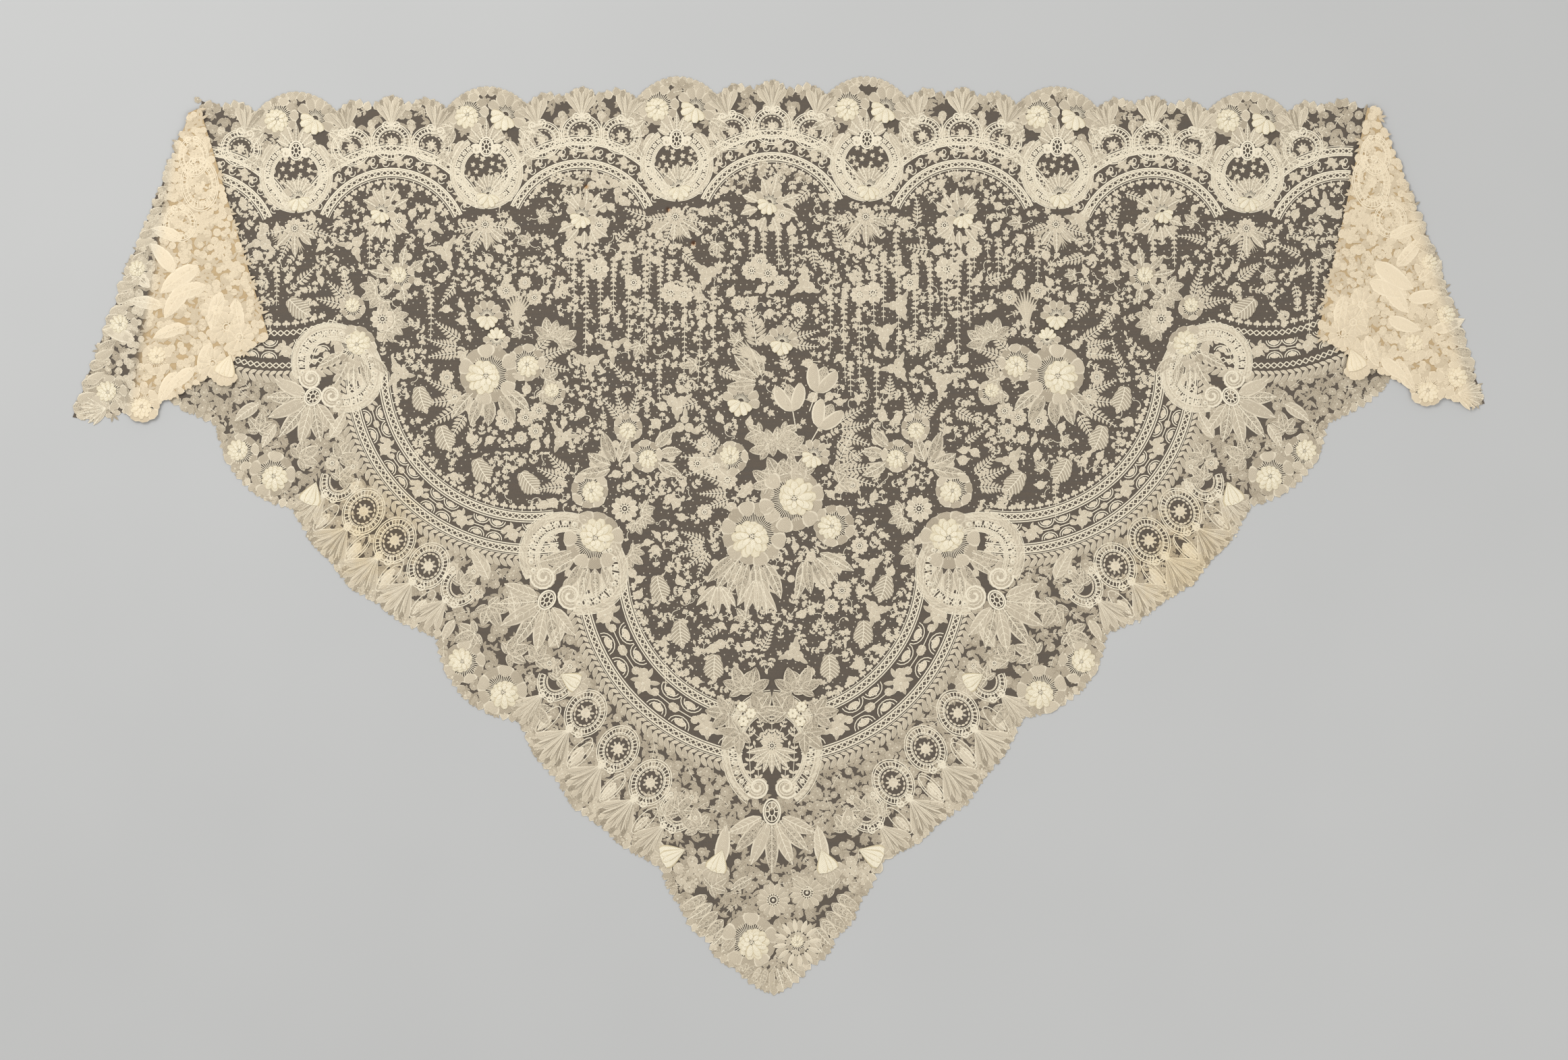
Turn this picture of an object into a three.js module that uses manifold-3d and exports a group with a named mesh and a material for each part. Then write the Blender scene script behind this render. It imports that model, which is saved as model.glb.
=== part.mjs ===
// Triangular needle lace shawl laid flat, front up, with both sharp ends folded out, back and out again.
// Millimetres, +Z up. Outlines are drawn from the shawl's own axis (x) and downwards from the crest of
// its top edge (down); the finished group is then moved so that the origin is under its middle.
import * as THREE from "three";
import { mergeVertices } from "three/addons/utils/BufferGeometryUtils.js";
import Module from "manifold-3d";

const wasm = await Module();
wasm.setup();

// Whole shawl
const depth = 1353;
const wall = 1.5;
const seam = 0.3;
const arcStep = 21;

// Top edge: rose bumps and groups of three shells take turns, and the edge sags towards both ends.
const repeat = 282;
const topRows = 7;
const crownSag = 27;
const crownReach = 400;
const topValley = 29;
const bumpWidth = 118;
const bumpRise = 34;
const shellRise = 17;
const toothRise = 11;
const shellTeeth = 3;

// Lower edges, from the point upwards: each run of the edge swells out from its valley and may be toothed.
const lowerRuns = [
  { width: 253, valley: 20, rise: 26, teeth: 4 },
  { width: 298, valley: 27, rise: 29, teeth: 3 },
  { width: 174, valley: 30, rise: 35, teeth: 0 },
  { width: 287, valley: 17, rise: 28, teeth: 3 },
  { width: 165, valley: 26, rise: 31, teeth: 0 },
  { width: 240, valley: 24, rise: 24, teeth: 2 },
];
const lowerToothRise = 8;
const pointX = 2;

// Folded ends: both folds start at the apex. The hidden one runs to the hidden foot, the one in sight to the
// open foot, and the flap's sharp tip lies outside both. The heel is where the lower edge comes out.
const ends = [
  {
    name: "left", side: -1, apexX: -853, apexDown: 24, hiddenX: -926, hiddenDown: 443,
    openX: -746, openDown: 381, tipX: -1036, tipDown: 502, heelX: -899, heelDown: 469,
    bow: 4, belly: 27, inset: 0,
  },
  {
    name: "right", side: 1, apexX: 887, apexDown: 23, hiddenX: 996, hiddenDown: 389,
    openX: 809, openDown: 380, tipX: 1056, tipDown: 482, heelX: 939, heelDown: 444,
    bow: 9, belly: 15, inset: 12,
  },
];
const foldStart = 0.05;
const foldTail = 2.4;
const flapRows = 22;
const flapTeeth = 11;
const flapTooth = 5;
const landing = 27;
const landingStops = [0.12, 0.24, 0.36, 0.48, 0.74, 1];
const clearance = 5;

// Bands of two beading rows around the field. Angles in degrees, anticlockwise from +X, for the left half.
const archInner = 102;
const archOuter = 150;
const archTopDown = 72;
const archEnd = 24;
const lobes = [
  { name: "end", x: -732, down: 178, inner: 190, outer: 252, from: 205, to: 296, rows: [] },
  {
    name: "lobe", x: -357, down: 429, inner: 211, outer: 275, from: 181, to: 279,
    rows: [{ radius: 218, from: 190.5, to: 266 }, { radius: 267, from: 203.5, to: 258 }],
  },
  {
    name: "tip", x: 0, down: 722, inner: 214, outer: 292, from: 183, to: 261,
    rows: [{ radius: 221, from: 199, to: 245 }, { radius: 284, from: 198.5, to: 252 }],
  },
];
const beadPitch = 9.4;
const beadGap = 5;
const corners = [
  [-660, 400],
  [-600, 420],
  [-318, 690],
  [-250, 720],
];

// Scroll frames. Aim is the way the oval and palmette point from the frame, degrees from +X, left half.
const topFrame = { across: 54, along: 55, ovalAway: 37, reach: 26, spread: 60, leaves: 5 };
const topFrameDown = 122;
const frames = [
  {
    name: "upper", x: -644, down: 426, across: 72, along: 62, aim: 230, ovalAway: 56, reach: 64,
    ovalWide: 9, ovalTall: 11, spread: 72, leaves: 7,
  },
  {
    name: "lower", x: -294, down: 716, across: 86, along: 70, aim: 234, ovalAway: 67, reach: 66,
    ovalWide: 9, ovalTall: 12, spread: 72, leaves: 7,
  },
  {
    name: "point", x: 0, down: 994, across: 74, along: 90, aim: 270, ovalAway: 90, reach: 80,
    ovalWide: 10, ovalTall: 15, spread: 62, leaves: 7,
  },
];
const ovalGaps = 8;
const ovalBar = 1.6;

// Thick flowers, raised on the panel they lie on; those off the axis are on both halves.
const roses = [
  { x: -787, down: 551, radius: 23 },
  { x: -740, down: 584, radius: 29 },
  { x: -456, down: 863, radius: 27 },
  { x: -400, down: 904, radius: 31 },
  { x: -33, down: 1275, radius: 36, single: true },
  { x: 38, down: 1279, radius: 34, single: true },
  { x: -420, down: 436, radius: 37 },
  { x: -364, down: 419, radius: 22 },
  { x: -264, down: 682, radius: 38 },
  { x: -617, down: 394, radius: 27 },
  { x: 29, down: 622, radius: 44, single: true },
  { x: -27, down: 672, radius: 45, single: true },
  { x: 92, down: 660, radius: 28, single: true },
];
const topRoseAway = 27;
const topRoseDown = 34;
const topRoseRadius = 24;
const roseSides = 10;
const roseProfile = [
  { reach: 1, height: 0.4 },
  { reach: 0.6, height: 2.6 },
  { reach: 0.25, height: 1.8 },
];

const colours = { net: 0xcfc8b8, lace: 0xe6dcc6, band: 0xddd3be, fold: 0xeadbbd };

const radians = (degrees) => (degrees * Math.PI) / 180;
const at = (x, down) => new THREE.Vector2(x, depth / 2 - down);
const topRowX = (i) => (i - (topRows - 1) / 2) * repeat;
const topFrameX = (i) => (i - (topRows - 2) / 2) * repeat;
const crown = (x) => crownSag * (1 - Math.exp(-((x / crownReach) ** 2)));
const wrap = (value, length) => ((value % length) + length) % length;
const clamp = (t) => Math.min(1, Math.max(0, t));
const smooth = (t) => t * t * (3 - 2 * t);
const tooth = (t, count) => 1 - Math.abs(2 * wrap(t * count, 1) - 1);

function solidOf(geometry) {
  const bare = geometry.index ? geometry.toNonIndexed() : geometry;
  bare.deleteAttribute("normal");
  bare.deleteAttribute("uv");
  const joined = mergeVertices(bare, 1e-4);
  const mesh = new wasm.Mesh({
    numProp: 3,
    vertProperties: new Float32Array(joined.attributes.position.array),
    triVerts: new Uint32Array(joined.index.array),
  });
  return new wasm.Manifold(mesh);
}

function plate(outline, low = 0, high = wall) {
  const geometry = new THREE.ExtrudeGeometry(new THREE.Shape(outline), {
    depth: high - low,
    bevelEnabled: false,
    curveSegments: 1,
  });
  geometry.translate(0, 0, low);
  return solidOf(geometry);
}

const cutter = (outline) => plate(outline, -4, 12);
const union = (solids) => wasm.Manifold.union(solids);
const mirrored = (outline) => outline.map((p) => new THREE.Vector2(-p.x, p.y)).reverse();

function arc(x, down, radius, from, to) {
  const count = Math.max(2, Math.ceil((radius * Math.abs(radians(to - from))) / arcStep));
  const centre = at(x, down);
  return Array.from({ length: count + 1 }, (_, i) => {
    const angle = radians(from + ((to - from) * i) / count);
    return new THREE.Vector2(centre.x + radius * Math.cos(angle), centre.y + radius * Math.sin(angle));
  });
}

function sector(x, down, inner, outer, from, to) {
  return [...arc(x, down, outer, from, to), ...arc(x, down, inner, from, to).reverse()];
}

// Height of the top edge above its valleys, first over a rose bump, then over a toothed group of shells.
function topRise(along) {
  if (along < bumpWidth) {
    return bumpRise * Math.sin((Math.PI * along) / bumpWidth) ** 0.7;
  }
  const share = (along - bumpWidth) / (repeat - bumpWidth);
  return shellRise * Math.sin(Math.PI * share) ** 0.4 + toothRise * tooth(share, shellTeeth);
}

function topEdge() {
  const [left, right] = ends;
  const bump = Array.from({ length: 8 }, (_, i) => (bumpWidth * i) / 8);
  const shells = Array.from({ length: 4 * shellTeeth }, (_, i) => i / (4 * shellTeeth));
  const stops = [...bump, ...shells.map((share) => bumpWidth + share * (repeat - bumpWidth))];
  const points = [at(left.apexX, left.apexDown)];
  for (let i = -1; i < topRows; i += 1) {
    for (const along of stops) {
      const x = topFrameX(i) - bumpWidth / 2 + along;
      if (x > left.apexX + 4 && x < right.apexX - 4) {
        points.push(at(x, topValley + crown(x) - topRise(along)));
      }
    }
  }
  points.push(at(right.apexX, right.apexDown));
  return points;
}

function lowerLine(end) {
  const start = at(pointX, depth);
  const run = at(end.heelX, end.heelDown).sub(start);
  const length = at(end.hiddenX, end.hiddenDown).distanceTo(start);
  const along = run.clone().normalize();
  const outward = new THREE.Vector2(along.y, -along.x).multiplyScalar(end.side);
  return { start, along, outward, length };
}

// Lower edge from the point up to the hidden foot.
function lowerEdge(end) {
  const { start, along, outward, length } = lowerLine(end);
  const points = [start.clone()];
  let passed = 0;
  let valley = 0;
  for (const run of lowerRuns) {
    const count = run.teeth ? run.teeth * 4 : 8;
    for (let i = 1; i <= count; i += 1) {
      const share = i / count;
      const distance = passed + run.width * share;
      if (distance > length - 6) {
        break;
      }
      const base = valley + (run.valley - valley) * share + end.inset * smooth(clamp(distance / 200));
      const swell = run.rise * Math.sin(Math.PI * share) ** 0.75;
      const notch = lowerToothRise * (tooth(share, run.teeth) - 0.5) * Math.sin(Math.PI * share);
      const out = swell - base + (run.teeth ? notch : 0);
      points.push(start.clone().addScaledVector(along, distance).addScaledVector(outward, out));
    }
    passed += run.width;
    valley = run.valley;
  }
  points.push(at(end.hiddenX, end.hiddenDown));
  return points;
}

function bodyOutline() {
  const [left, right] = ends;
  const clockwise = [...topEdge(), ...lowerEdge(right).reverse(), ...lowerEdge(left).slice(1)];
  return clockwise.reverse();
}

// Oval frame with a palmette of pointed leaves beyond it, grown outwards by a margin.
function frameOutlines(frame, grow) {
  const aim = radians(frame.aim);
  const centre = at(frame.x, frame.down);
  const ahead = new THREE.Vector2(Math.cos(aim), Math.sin(aim));
  const aside = new THREE.Vector2(-ahead.y, ahead.x);
  const ring = Array.from({ length: 24 }, (_, i) => {
    const angle = (i * Math.PI) / 12;
    return centre
      .clone()
      .addScaledVector(ahead, (frame.along + grow) * Math.cos(angle))
      .addScaledVector(aside, (frame.across + grow) * Math.sin(angle));
  });
  const oval = centre.clone().addScaledVector(ahead, frame.ovalAway);
  const steps = frame.leaves * 2;
  const fan = Array.from({ length: steps + 1 }, (_, i) => {
    const share = i / steps;
    const angle = radians(frame.spread) * (2 * share - 1);
    const leaf = 0.86 + 0.14 * tooth(share, frame.leaves);
    const reach = frame.reach * leaf * (1 - 0.22 * Math.abs(2 * share - 1)) + grow;
    return oval
      .clone()
      .addScaledVector(ahead, reach * Math.cos(angle))
      .addScaledVector(aside, reach * Math.sin(angle));
  });
  fan.push(oval.clone().addScaledVector(ahead, -0.3 * frame.along));
  return [ring, fan];
}

function frameSolid(frame, grow, mirror) {
  return union(frameOutlines(frame, grow).map((outline) => cutter(mirror ? mirrored(outline) : outline)));
}

// Wedge gaps between the bars of an oval's star.
function ovalCutters(frame, mirror) {
  const aim = radians(frame.aim);
  const ahead = new THREE.Vector2(Math.cos(aim), Math.sin(aim));
  const aside = new THREE.Vector2(-ahead.y, ahead.x);
  const centre = at(frame.x, frame.down).addScaledVector(ahead, frame.ovalAway);
  const place = (share, angle, shift) =>
    centre
      .clone()
      .addScaledVector(ahead, share * frame.ovalTall * Math.cos(angle) - shift * Math.sin(angle))
      .addScaledVector(aside, share * frame.ovalWide * Math.sin(angle) + shift * Math.cos(angle));
  return Array.from({ length: ovalGaps }, (_, i) => {
    const low = (2 * Math.PI * i) / ovalGaps;
    const high = (2 * Math.PI * (i + 1)) / ovalGaps;
    const half = ovalBar / 2;
    const near = [place(0.4, low, half), place(0.96, low, half)];
    const wedge = [...near, place(0.96, high, -half), place(0.4, high, -half)];
    return cutter(mirror ? mirrored(wedge) : wedge);
  });
}

// One three-cornered gap for every cell of a beading row, turned in and out by turns.
function beadCutters(lobe, mirror) {
  return lobe.rows.flatMap((row) => {
    const count = Math.round((radians(row.to - row.from) * row.radius) / beadPitch);
    return Array.from({ length: count + 1 }, (_, i) => {
      const angle = radians(row.from + ((row.to - row.from) * i) / count);
      const ahead = new THREE.Vector2(Math.cos(angle), Math.sin(angle));
      const aside = new THREE.Vector2(-ahead.y, ahead.x);
      const centre = at(lobe.x, lobe.down).addScaledVector(ahead, row.radius);
      const half = i % 2 ? beadGap / 2 : -beadGap / 2;
      const gap = [[half, 0], [-half, beadGap / 2], [-half, -beadGap / 2]].map(([out, side]) =>
        centre.clone().addScaledVector(ahead, out).addScaledVector(aside, side),
      );
      return cutter(mirror ? mirrored(gap) : gap);
    });
  });
}

// Low dome with a dimpled middle, its base sunk into the panel.
function roseSolid(x, down, radius, base = wall) {
  const centre = at(x, down);
  const profile = [new THREE.Vector2(0, base - 1), new THREE.Vector2(radius, base - 1)];
  for (const { reach, height } of roseProfile) {
    profile.push(new THREE.Vector2(reach * radius, base + height));
  }
  profile.push(new THREE.Vector2(0, base + roseProfile[roseProfile.length - 1].height - 0.4));
  const geometry = new THREE.LatheGeometry(profile, roseSides);
  geometry.rotateX(Math.PI / 2);
  geometry.translate(centre.x, centre.y, 0);
  return solidOf(geometry);
}

function topFrameAt(i) {
  const x = topFrameX(i);
  return { ...topFrame, x, down: topFrameDown + 0.75 * crown(x), aim: 90 };
}

function archSector(i, grow) {
  const x = topRowX(i);
  const down = archTopDown + crown(x) + archOuter;
  const turn = (grow / archInner) * (180 / Math.PI);
  return sector(x, down, archInner - grow, archOuter + grow, archEnd - turn, 180 - archEnd + turn);
}

function lobeSector(lobe, grow, mirror) {
  const { x, down, inner, outer, from, to } = lobe;
  const turn = (grow / inner) * (180 / Math.PI);
  const outline = sector(x, down, inner - grow, outer + grow, from - turn, to + turn);
  return mirror ? mirrored(outline) : outline;
}

// Net ground: the lobes' inner arcs below, the arches' inner discs above, and all that lies between.
function fieldOutlines(grow) {
  const [end, lobe, tip] = lobes;
  const [a, b, c, d] = corners.map(([x, down]) => at(x, down));
  const leftHalf = [
    at(-960, 150 - grow),
    ...arc(end.x, end.down, end.inner + grow, end.from, end.to),
    a,
    b,
    ...arc(lobe.x, lobe.down, lobe.inner + grow, lobe.from, lobe.to),
    c,
    d,
    ...arc(tip.x, tip.down, tip.inner + grow, tip.from, 268),
  ];
  const whole = [...leftHalf, ...mirrored(leftHalf)];
  const crowns = Array.from({ length: topRows }, (_, i) => {
    const x = topRowX(i);
    return arc(x, archTopDown + crown(x) + archOuter, archInner + grow, 0, 180);
  });
  return [whole, ...crowns];
}

// Corner at the point, parted from the side borders at the first valley of each lower edge.
function cornerOutline(grow) {
  const [leftCut, rightCut] = ends.map((end) => {
    const { start, along, outward } = lowerLine(end);
    return start.clone().addScaledVector(along, lowerRuns[0].width + grow).addScaledVector(outward, 70);
  });
  return [at(0, depth + 90), rightCut, at(58 + grow, 1068 - grow), at(-58 - grow, 1068 - grow), leftCut];
}

// Closed wall from a grid of outer points and a grid of inner points, both [row][column].
function wallSolid(outer, inner) {
  const rows = outer.length;
  const columns = outer[0].length;
  const positions = [...outer.flat(), ...inner.flat()].flatMap((p) => [p.x, p.y, p.z]);
  const out = (r, c) => r * columns + c;
  const into = (r, c) => rows * columns + r * columns + c;
  const index = [];
  const quad = (a, b, c, d) => index.push(a, b, c, a, c, d);
  for (let r = 0; r + 1 < rows; r += 1) {
    for (let c = 0; c + 1 < columns; c += 1) {
      quad(out(r, c), out(r, c + 1), out(r + 1, c + 1), out(r + 1, c));
      quad(into(r, c), into(r + 1, c), into(r + 1, c + 1), into(r, c + 1));
    }
    quad(out(r, 0), out(r + 1, 0), into(r + 1, 0), into(r, 0));
    quad(out(r, columns - 1), into(r, columns - 1), into(r + 1, columns - 1), out(r + 1, columns - 1));
  }
  for (let c = 0; c + 1 < columns; c += 1) {
    quad(out(0, c), into(0, c), into(0, c + 1), out(0, c + 1));
    quad(out(rows - 1, c), out(rows - 1, c + 1), into(rows - 1, c + 1), into(rows - 1, c));
  }
  const geometry = new THREE.BufferGeometry();
  geometry.setAttribute("position", new THREE.Float32BufferAttribute(positions, 3));
  geometry.setIndex(index);
  const solid = solidOf(geometry);
  return solid.volume() > 0 ? solid : solidOf(geometry.setIndex(index.reverse()));
}

// Section of a cloth that comes in at one height, turns back over a nose and leaves one layer higher:
// points as run along the cloth (away from the nose), outer height and inner height.
function noseSection(low, tail) {
  const nose = wall + seam / 2;
  const middle = low + nose;
  const section = [{ run: tail, innerRun: tail, outer: low, inner: low + wall }];
  for (let i = 0; i <= 3; i += 1) {
    const angle = -Math.PI / 2 + (Math.PI * i) / 3;
    section.push({
      run: -nose * Math.cos(angle),
      innerRun: (-seam / 2) * Math.cos(angle),
      outer: middle + nose * Math.sin(angle),
      inner: middle + (seam / 2) * Math.sin(angle),
    });
  }
  return section;
}

// Row of wall points: each section point is placed by its run and given its height.
function sectionRow(place, section) {
  const point = (run, z) => new THREE.Vector3(place(run).x, place(run).y, z);
  return {
    outer: section.map((s) => point(s.run, s.outer)),
    inner: section.map((s) => point(s.innerRun ?? s.run, s.inner)),
  };
}

const foldPlaces = (end) => ({
  apex: at(end.apexX, end.apexDown),
  hidden: at(end.hiddenX, end.hiddenDown),
  open: at(end.openX, end.openDown),
  tip: at(end.tipX, end.tipDown),
});

// Strip along the hidden fold where the body stops short of the cloth that turns up there.
function foldStrip(end) {
  const { apex, hidden, open } = foldPlaces(end);
  const along = hidden.clone().sub(apex);
  const across = open.clone().sub(hidden).normalize();
  const edge = (share, run) => apex.clone().addScaledVector(along, share).addScaledVector(across, run);
  const inner = foldTail + 2 * seam;
  const outline = [edge(-0.1, -40), edge(1.1, -40), edge(1.1, inner), edge(-0.1, inner)];
  return cutter(end.side < 0 ? outline : outline.reverse());
}

// Hidden layer: turns back at the hidden fold and runs to the fold in sight.
function hiddenLayer(end) {
  const { apex, hidden, open } = foldPlaces(end);
  const level = wall + seam;
  const rows = [foldStart, 0.3, 0.65, 1].map((u) => {
    const origin = apex.clone().lerp(hidden, u);
    const across = apex.clone().lerp(open, u).sub(origin);
    const length = across.length();
    const section = noseSection(0, foldTail);
    section.push({ run: length - foldTail - 2 * seam, outer: level + wall, inner: level });
    const way = across.normalize();
    return sectionRow((run) => origin.clone().addScaledVector(way, run), section);
  });
  return wallSolid(rows.map((r) => r.outer), rows.map((r) => r.inner));
}

// Flap: turns back at the fold in sight, lies over the hidden layer and comes down to the floor outside it.
function flap(end) {
  const { apex, hidden, open, tip } = foldPlaces(end);
  const level = 2 * (wall + seam);
  const foldWay = hidden.clone().sub(apex).normalize();
  const beyond = (p) => -end.side * p.clone().sub(apex).cross(foldWay);
  const height = (p) => level * (1 - smooth(clamp((beyond(p) - clearance) / landing)));
  const rows = Array.from({ length: flapRows + 1 }, (_, i) => {
    const u = foldStart + ((1 - foldStart) * i) / flapRows;
    const origin = apex.clone().lerp(open, u);
    const reach = apex.clone().lerp(tip, u).sub(origin);
    const way = reach.clone().normalize();
    const below = new THREE.Vector2(way.y, -way.x).multiplyScalar(end.side);
    const edgeTooth = flapTooth * (tooth(u, flapTeeth) - 0.5) * Math.min(1, 4 * (1 - u) + 0.2);
    const length = reach.length() + end.bow * Math.sin(Math.PI * u) + edgeTooth;
    const place = (run) => {
      const share = clamp(run / length);
      const scallop = flapTooth * u ** 12 * (tooth(share, 9) - 0.5) * share;
      const lift = end.belly * u ** 3 * Math.sin(Math.PI * share ** 1.3) + scallop;
      return origin.clone().addScaledVector(way, run).addScaledVector(below, lift);
    };
    let bend = length / 2;
    for (let k = 0; k < 8; k += 1) {
      bend += (clearance - beyond(place(bend))) / Math.abs(way.cross(foldWay));
    }
    const rest = Math.max(0.5, length - bend);
    const stops = [0.5 * bend, bend, ...landingStops.map((share) => bend + share * rest)];
    const lying = stops.map((run) => ({ run, outer: height(place(run)) + wall, inner: height(place(run)) }));
    return sectionRow(place, [...noseSection(wall + seam, foldTail), ...lying]);
  });
  return wallSolid(rows.map((r) => r.outer), rows.map((r) => r.inner));
}

const shawl = new THREE.Group();
shawl.name = "lace_shawl";

function addPiece(name, solid, colour) {
  const largest = solid.decompose().sort((a, b) => b.volume() - a.volume())[0];
  const mesh = largest.getMesh();
  const geometry = new THREE.BufferGeometry();
  geometry.setAttribute("position", new THREE.Float32BufferAttribute(mesh.vertProperties, 3));
  geometry.setIndex(Array.from(mesh.triVerts));
  geometry.computeVertexNormals();
  const piece = new THREE.Mesh(geometry, new THREE.MeshStandardMaterial({ color: colour, roughness: 0.9 }));
  piece.name = name;
  shawl.add(piece);
}

// Thick flowers that fall on a panel are joined to it.
const roseList = roses.flatMap((rose) => (rose.single ? [rose] : [rose, { ...rose, x: -rose.x }]));
for (let i = 0; i < topRows - 1; i += 1) {
  for (const side of [-1, 1]) {
    const x = topFrameX(i) + side * topRoseAway;
    roseList.push({ x, down: topRoseDown + 0.75 * crown(topFrameX(i)), radius: topRoseRadius });
  }
}
const roseSolids = roseList.map((rose) => roseSolid(rose.x, rose.down, rose.radius));

function withRoses(panel, area) {
  const raised = roseSolids.map((rose) => rose.intersect(area)).filter((rose) => rose.volume() > 1);
  return raised.length ? panel.add(union(raised)) : panel;
}

const foldStrips = union(ends.map((end) => foldStrip(end)));
const body = plate(bodyOutline()).subtract(foldStrips);
const bodyCutter = cutter(bodyOutline()).subtract(foldStrips);
const topFrames = Array.from({ length: topRows - 1 }, (_, i) => topFrameAt(i));
const lowerFrames = [
  { name: "left_upper", frame: frames[0], mirror: false },
  { name: "left_lower", frame: frames[1], mirror: false },
  { name: "point", frame: frames[2], mirror: false },
  { name: "right_lower", frame: frames[1], mirror: true },
  { name: "right_upper", frame: frames[0], mirror: true },
];
const allFrames = (grow) =>
  union([
    ...topFrames.map((frame) => frameSolid(frame, grow, false)),
    ...lowerFrames.map(({ frame, mirror }) => frameSolid(frame, grow, mirror)),
  ]);
const bandList = [
  ...Array.from({ length: topRows }, (_, i) => ({
    name: `arch_band_${i + 1}`,
    outline: (grow) => archSector(i, grow),
  })),
  ...[false, true].flatMap((mirror) =>
    lobes.map((lobe) => ({
      name: `${lobe.name}_band_${mirror ? "right" : "left"}`,
      outline: (grow) => lobeSector(lobe, grow, mirror),
      gaps: lobe.rows.length ? union(beadCutters(lobe, mirror)) : null,
    })),
  ),
];
const framesGrown = allFrames(seam);
const bandsGrown = union(bandList.map((band) => cutter(band.outline(seam))));
const corner = cutter(cornerOutline(0));

topFrames.forEach((frame, i) => {
  const area = frameSolid(frame, 0, false).intersect(bodyCutter);
  addPiece(`top_frame_${i + 1}`, withRoses(body.intersect(area), area), colours.lace);
});
lowerFrames.forEach(({ name, frame, mirror }) => {
  const area = frameSolid(frame, 0, mirror).intersect(bodyCutter);
  const panel = withRoses(body.intersect(area), area);
  addPiece(`frame_${name}`, panel.subtract(union(ovalCutters(frame, mirror))), colours.lace);
});
for (const band of bandList) {
  const area = cutter(band.outline(0)).intersect(bodyCutter).subtract(framesGrown);
  const panel = body.intersect(area);
  addPiece(band.name, band.gaps ? panel.subtract(band.gaps) : panel, colours.band);
}
const fieldWhole = (grow) => union(fieldOutlines(grow).map((outline) => cutter(outline)));
const fieldArea = fieldWhole(0).intersect(bodyCutter).subtract(framesGrown).subtract(bandsGrown);
const field = fieldArea.decompose().sort((a, b) => b.volume() - a.volume())[0];
addPiece("field", withRoses(body.intersect(field), field), colours.net);

const outside = bodyCutter.subtract(fieldWhole(seam)).subtract(framesGrown).subtract(bandsGrown);
const cornerArea = outside.intersect(corner);
addPiece("corner", withRoses(body.intersect(cornerArea), cornerArea), colours.lace);
const borderParts = outside.subtract(cutter(cornerOutline(seam))).decompose();
const borders = borderParts.sort((a, b) => b.volume() - a.volume()).slice(0, 3);
const middleOf = (solid, axis) => solid.boundingBox().min[axis] + solid.boundingBox().max[axis];
borders.sort((a, b) => middleOf(b, 1) - middleOf(a, 1));
const [topBorder, ...sideBorders] = borders;
sideBorders.sort((a, b) => middleOf(a, 0) - middleOf(b, 0));
addPiece("border_top", withRoses(body.intersect(topBorder), topBorder), colours.lace);
addPiece("border_left", withRoses(body.intersect(sideBorders[0]), sideBorders[0]), colours.lace);
addPiece("border_right", withRoses(body.intersect(sideBorders[1]), sideBorders[1]), colours.lace);

for (const end of ends) {
  addPiece(`hidden_layer_${end.name}`, hiddenLayer(end), colours.fold);
  addPiece(`flap_${end.name}`, flap(end), colours.fold);
}

// The origin lies on the floor under the middle of the shawl.
const box = new THREE.Box3().setFromObject(shawl);
const middle = box.getCenter(new THREE.Vector3());
for (const piece of shawl.children) {
  piece.geometry.translate(-middle.x, -middle.y, 0);
}

export default shawl;
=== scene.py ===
import math

import bpy
import numpy as np
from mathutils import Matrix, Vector


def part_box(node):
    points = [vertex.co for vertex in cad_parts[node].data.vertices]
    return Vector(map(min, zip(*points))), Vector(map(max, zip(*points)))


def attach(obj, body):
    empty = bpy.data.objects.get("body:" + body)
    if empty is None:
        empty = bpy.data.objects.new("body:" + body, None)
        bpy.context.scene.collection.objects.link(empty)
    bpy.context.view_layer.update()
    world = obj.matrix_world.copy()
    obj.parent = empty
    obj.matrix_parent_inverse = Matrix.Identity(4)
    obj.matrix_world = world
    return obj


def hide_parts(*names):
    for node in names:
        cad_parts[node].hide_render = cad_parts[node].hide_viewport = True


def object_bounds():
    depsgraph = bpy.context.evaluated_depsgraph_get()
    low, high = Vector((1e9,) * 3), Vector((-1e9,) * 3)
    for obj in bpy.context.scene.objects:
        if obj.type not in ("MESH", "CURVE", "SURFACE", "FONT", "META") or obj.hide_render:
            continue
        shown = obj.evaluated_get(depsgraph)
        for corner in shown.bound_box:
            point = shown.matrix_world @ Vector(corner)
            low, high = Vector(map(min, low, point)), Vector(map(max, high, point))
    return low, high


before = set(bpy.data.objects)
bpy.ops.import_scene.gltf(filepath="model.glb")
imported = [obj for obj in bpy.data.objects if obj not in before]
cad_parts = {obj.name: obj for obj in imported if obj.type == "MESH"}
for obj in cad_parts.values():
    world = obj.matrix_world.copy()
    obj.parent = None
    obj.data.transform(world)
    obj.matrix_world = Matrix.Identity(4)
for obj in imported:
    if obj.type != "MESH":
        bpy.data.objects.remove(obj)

cadLow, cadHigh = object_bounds()
rng = np.random.default_rng(11)

# Layout in millimetres: x from the shawl's own axis, y upwards from the crest of its top edge.
shawl = {"depth": 1353, "repeat": 282, "crownSag": 27, "crownReach": 400, "netHeight": 0.45}
pointLow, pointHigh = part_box("frame_point")
axisX = 500 * (pointLow.x + pointHigh.x)
crestY = 1000 * cadLow.y + shawl["depth"]


# Sag of the top edge: a bell curve in x, none at the axis and the full sag far out.
def crown(x):
    return shawl["crownSag"] * (1 - np.exp(-((x / shawl["crownReach"]) ** 2)))


# Triangle wave: rises to one and falls to nought once for each tooth along the share.
def toothed(share, count):
    return 1 - np.abs(2 * np.mod(share * count, 1) - 1)


# Eased step: 3t² − 2t³ between nought and one.
def smooth(t):
    t = np.clip(t, 0, 1)
    return t * t * (3 - 2 * t)


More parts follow.
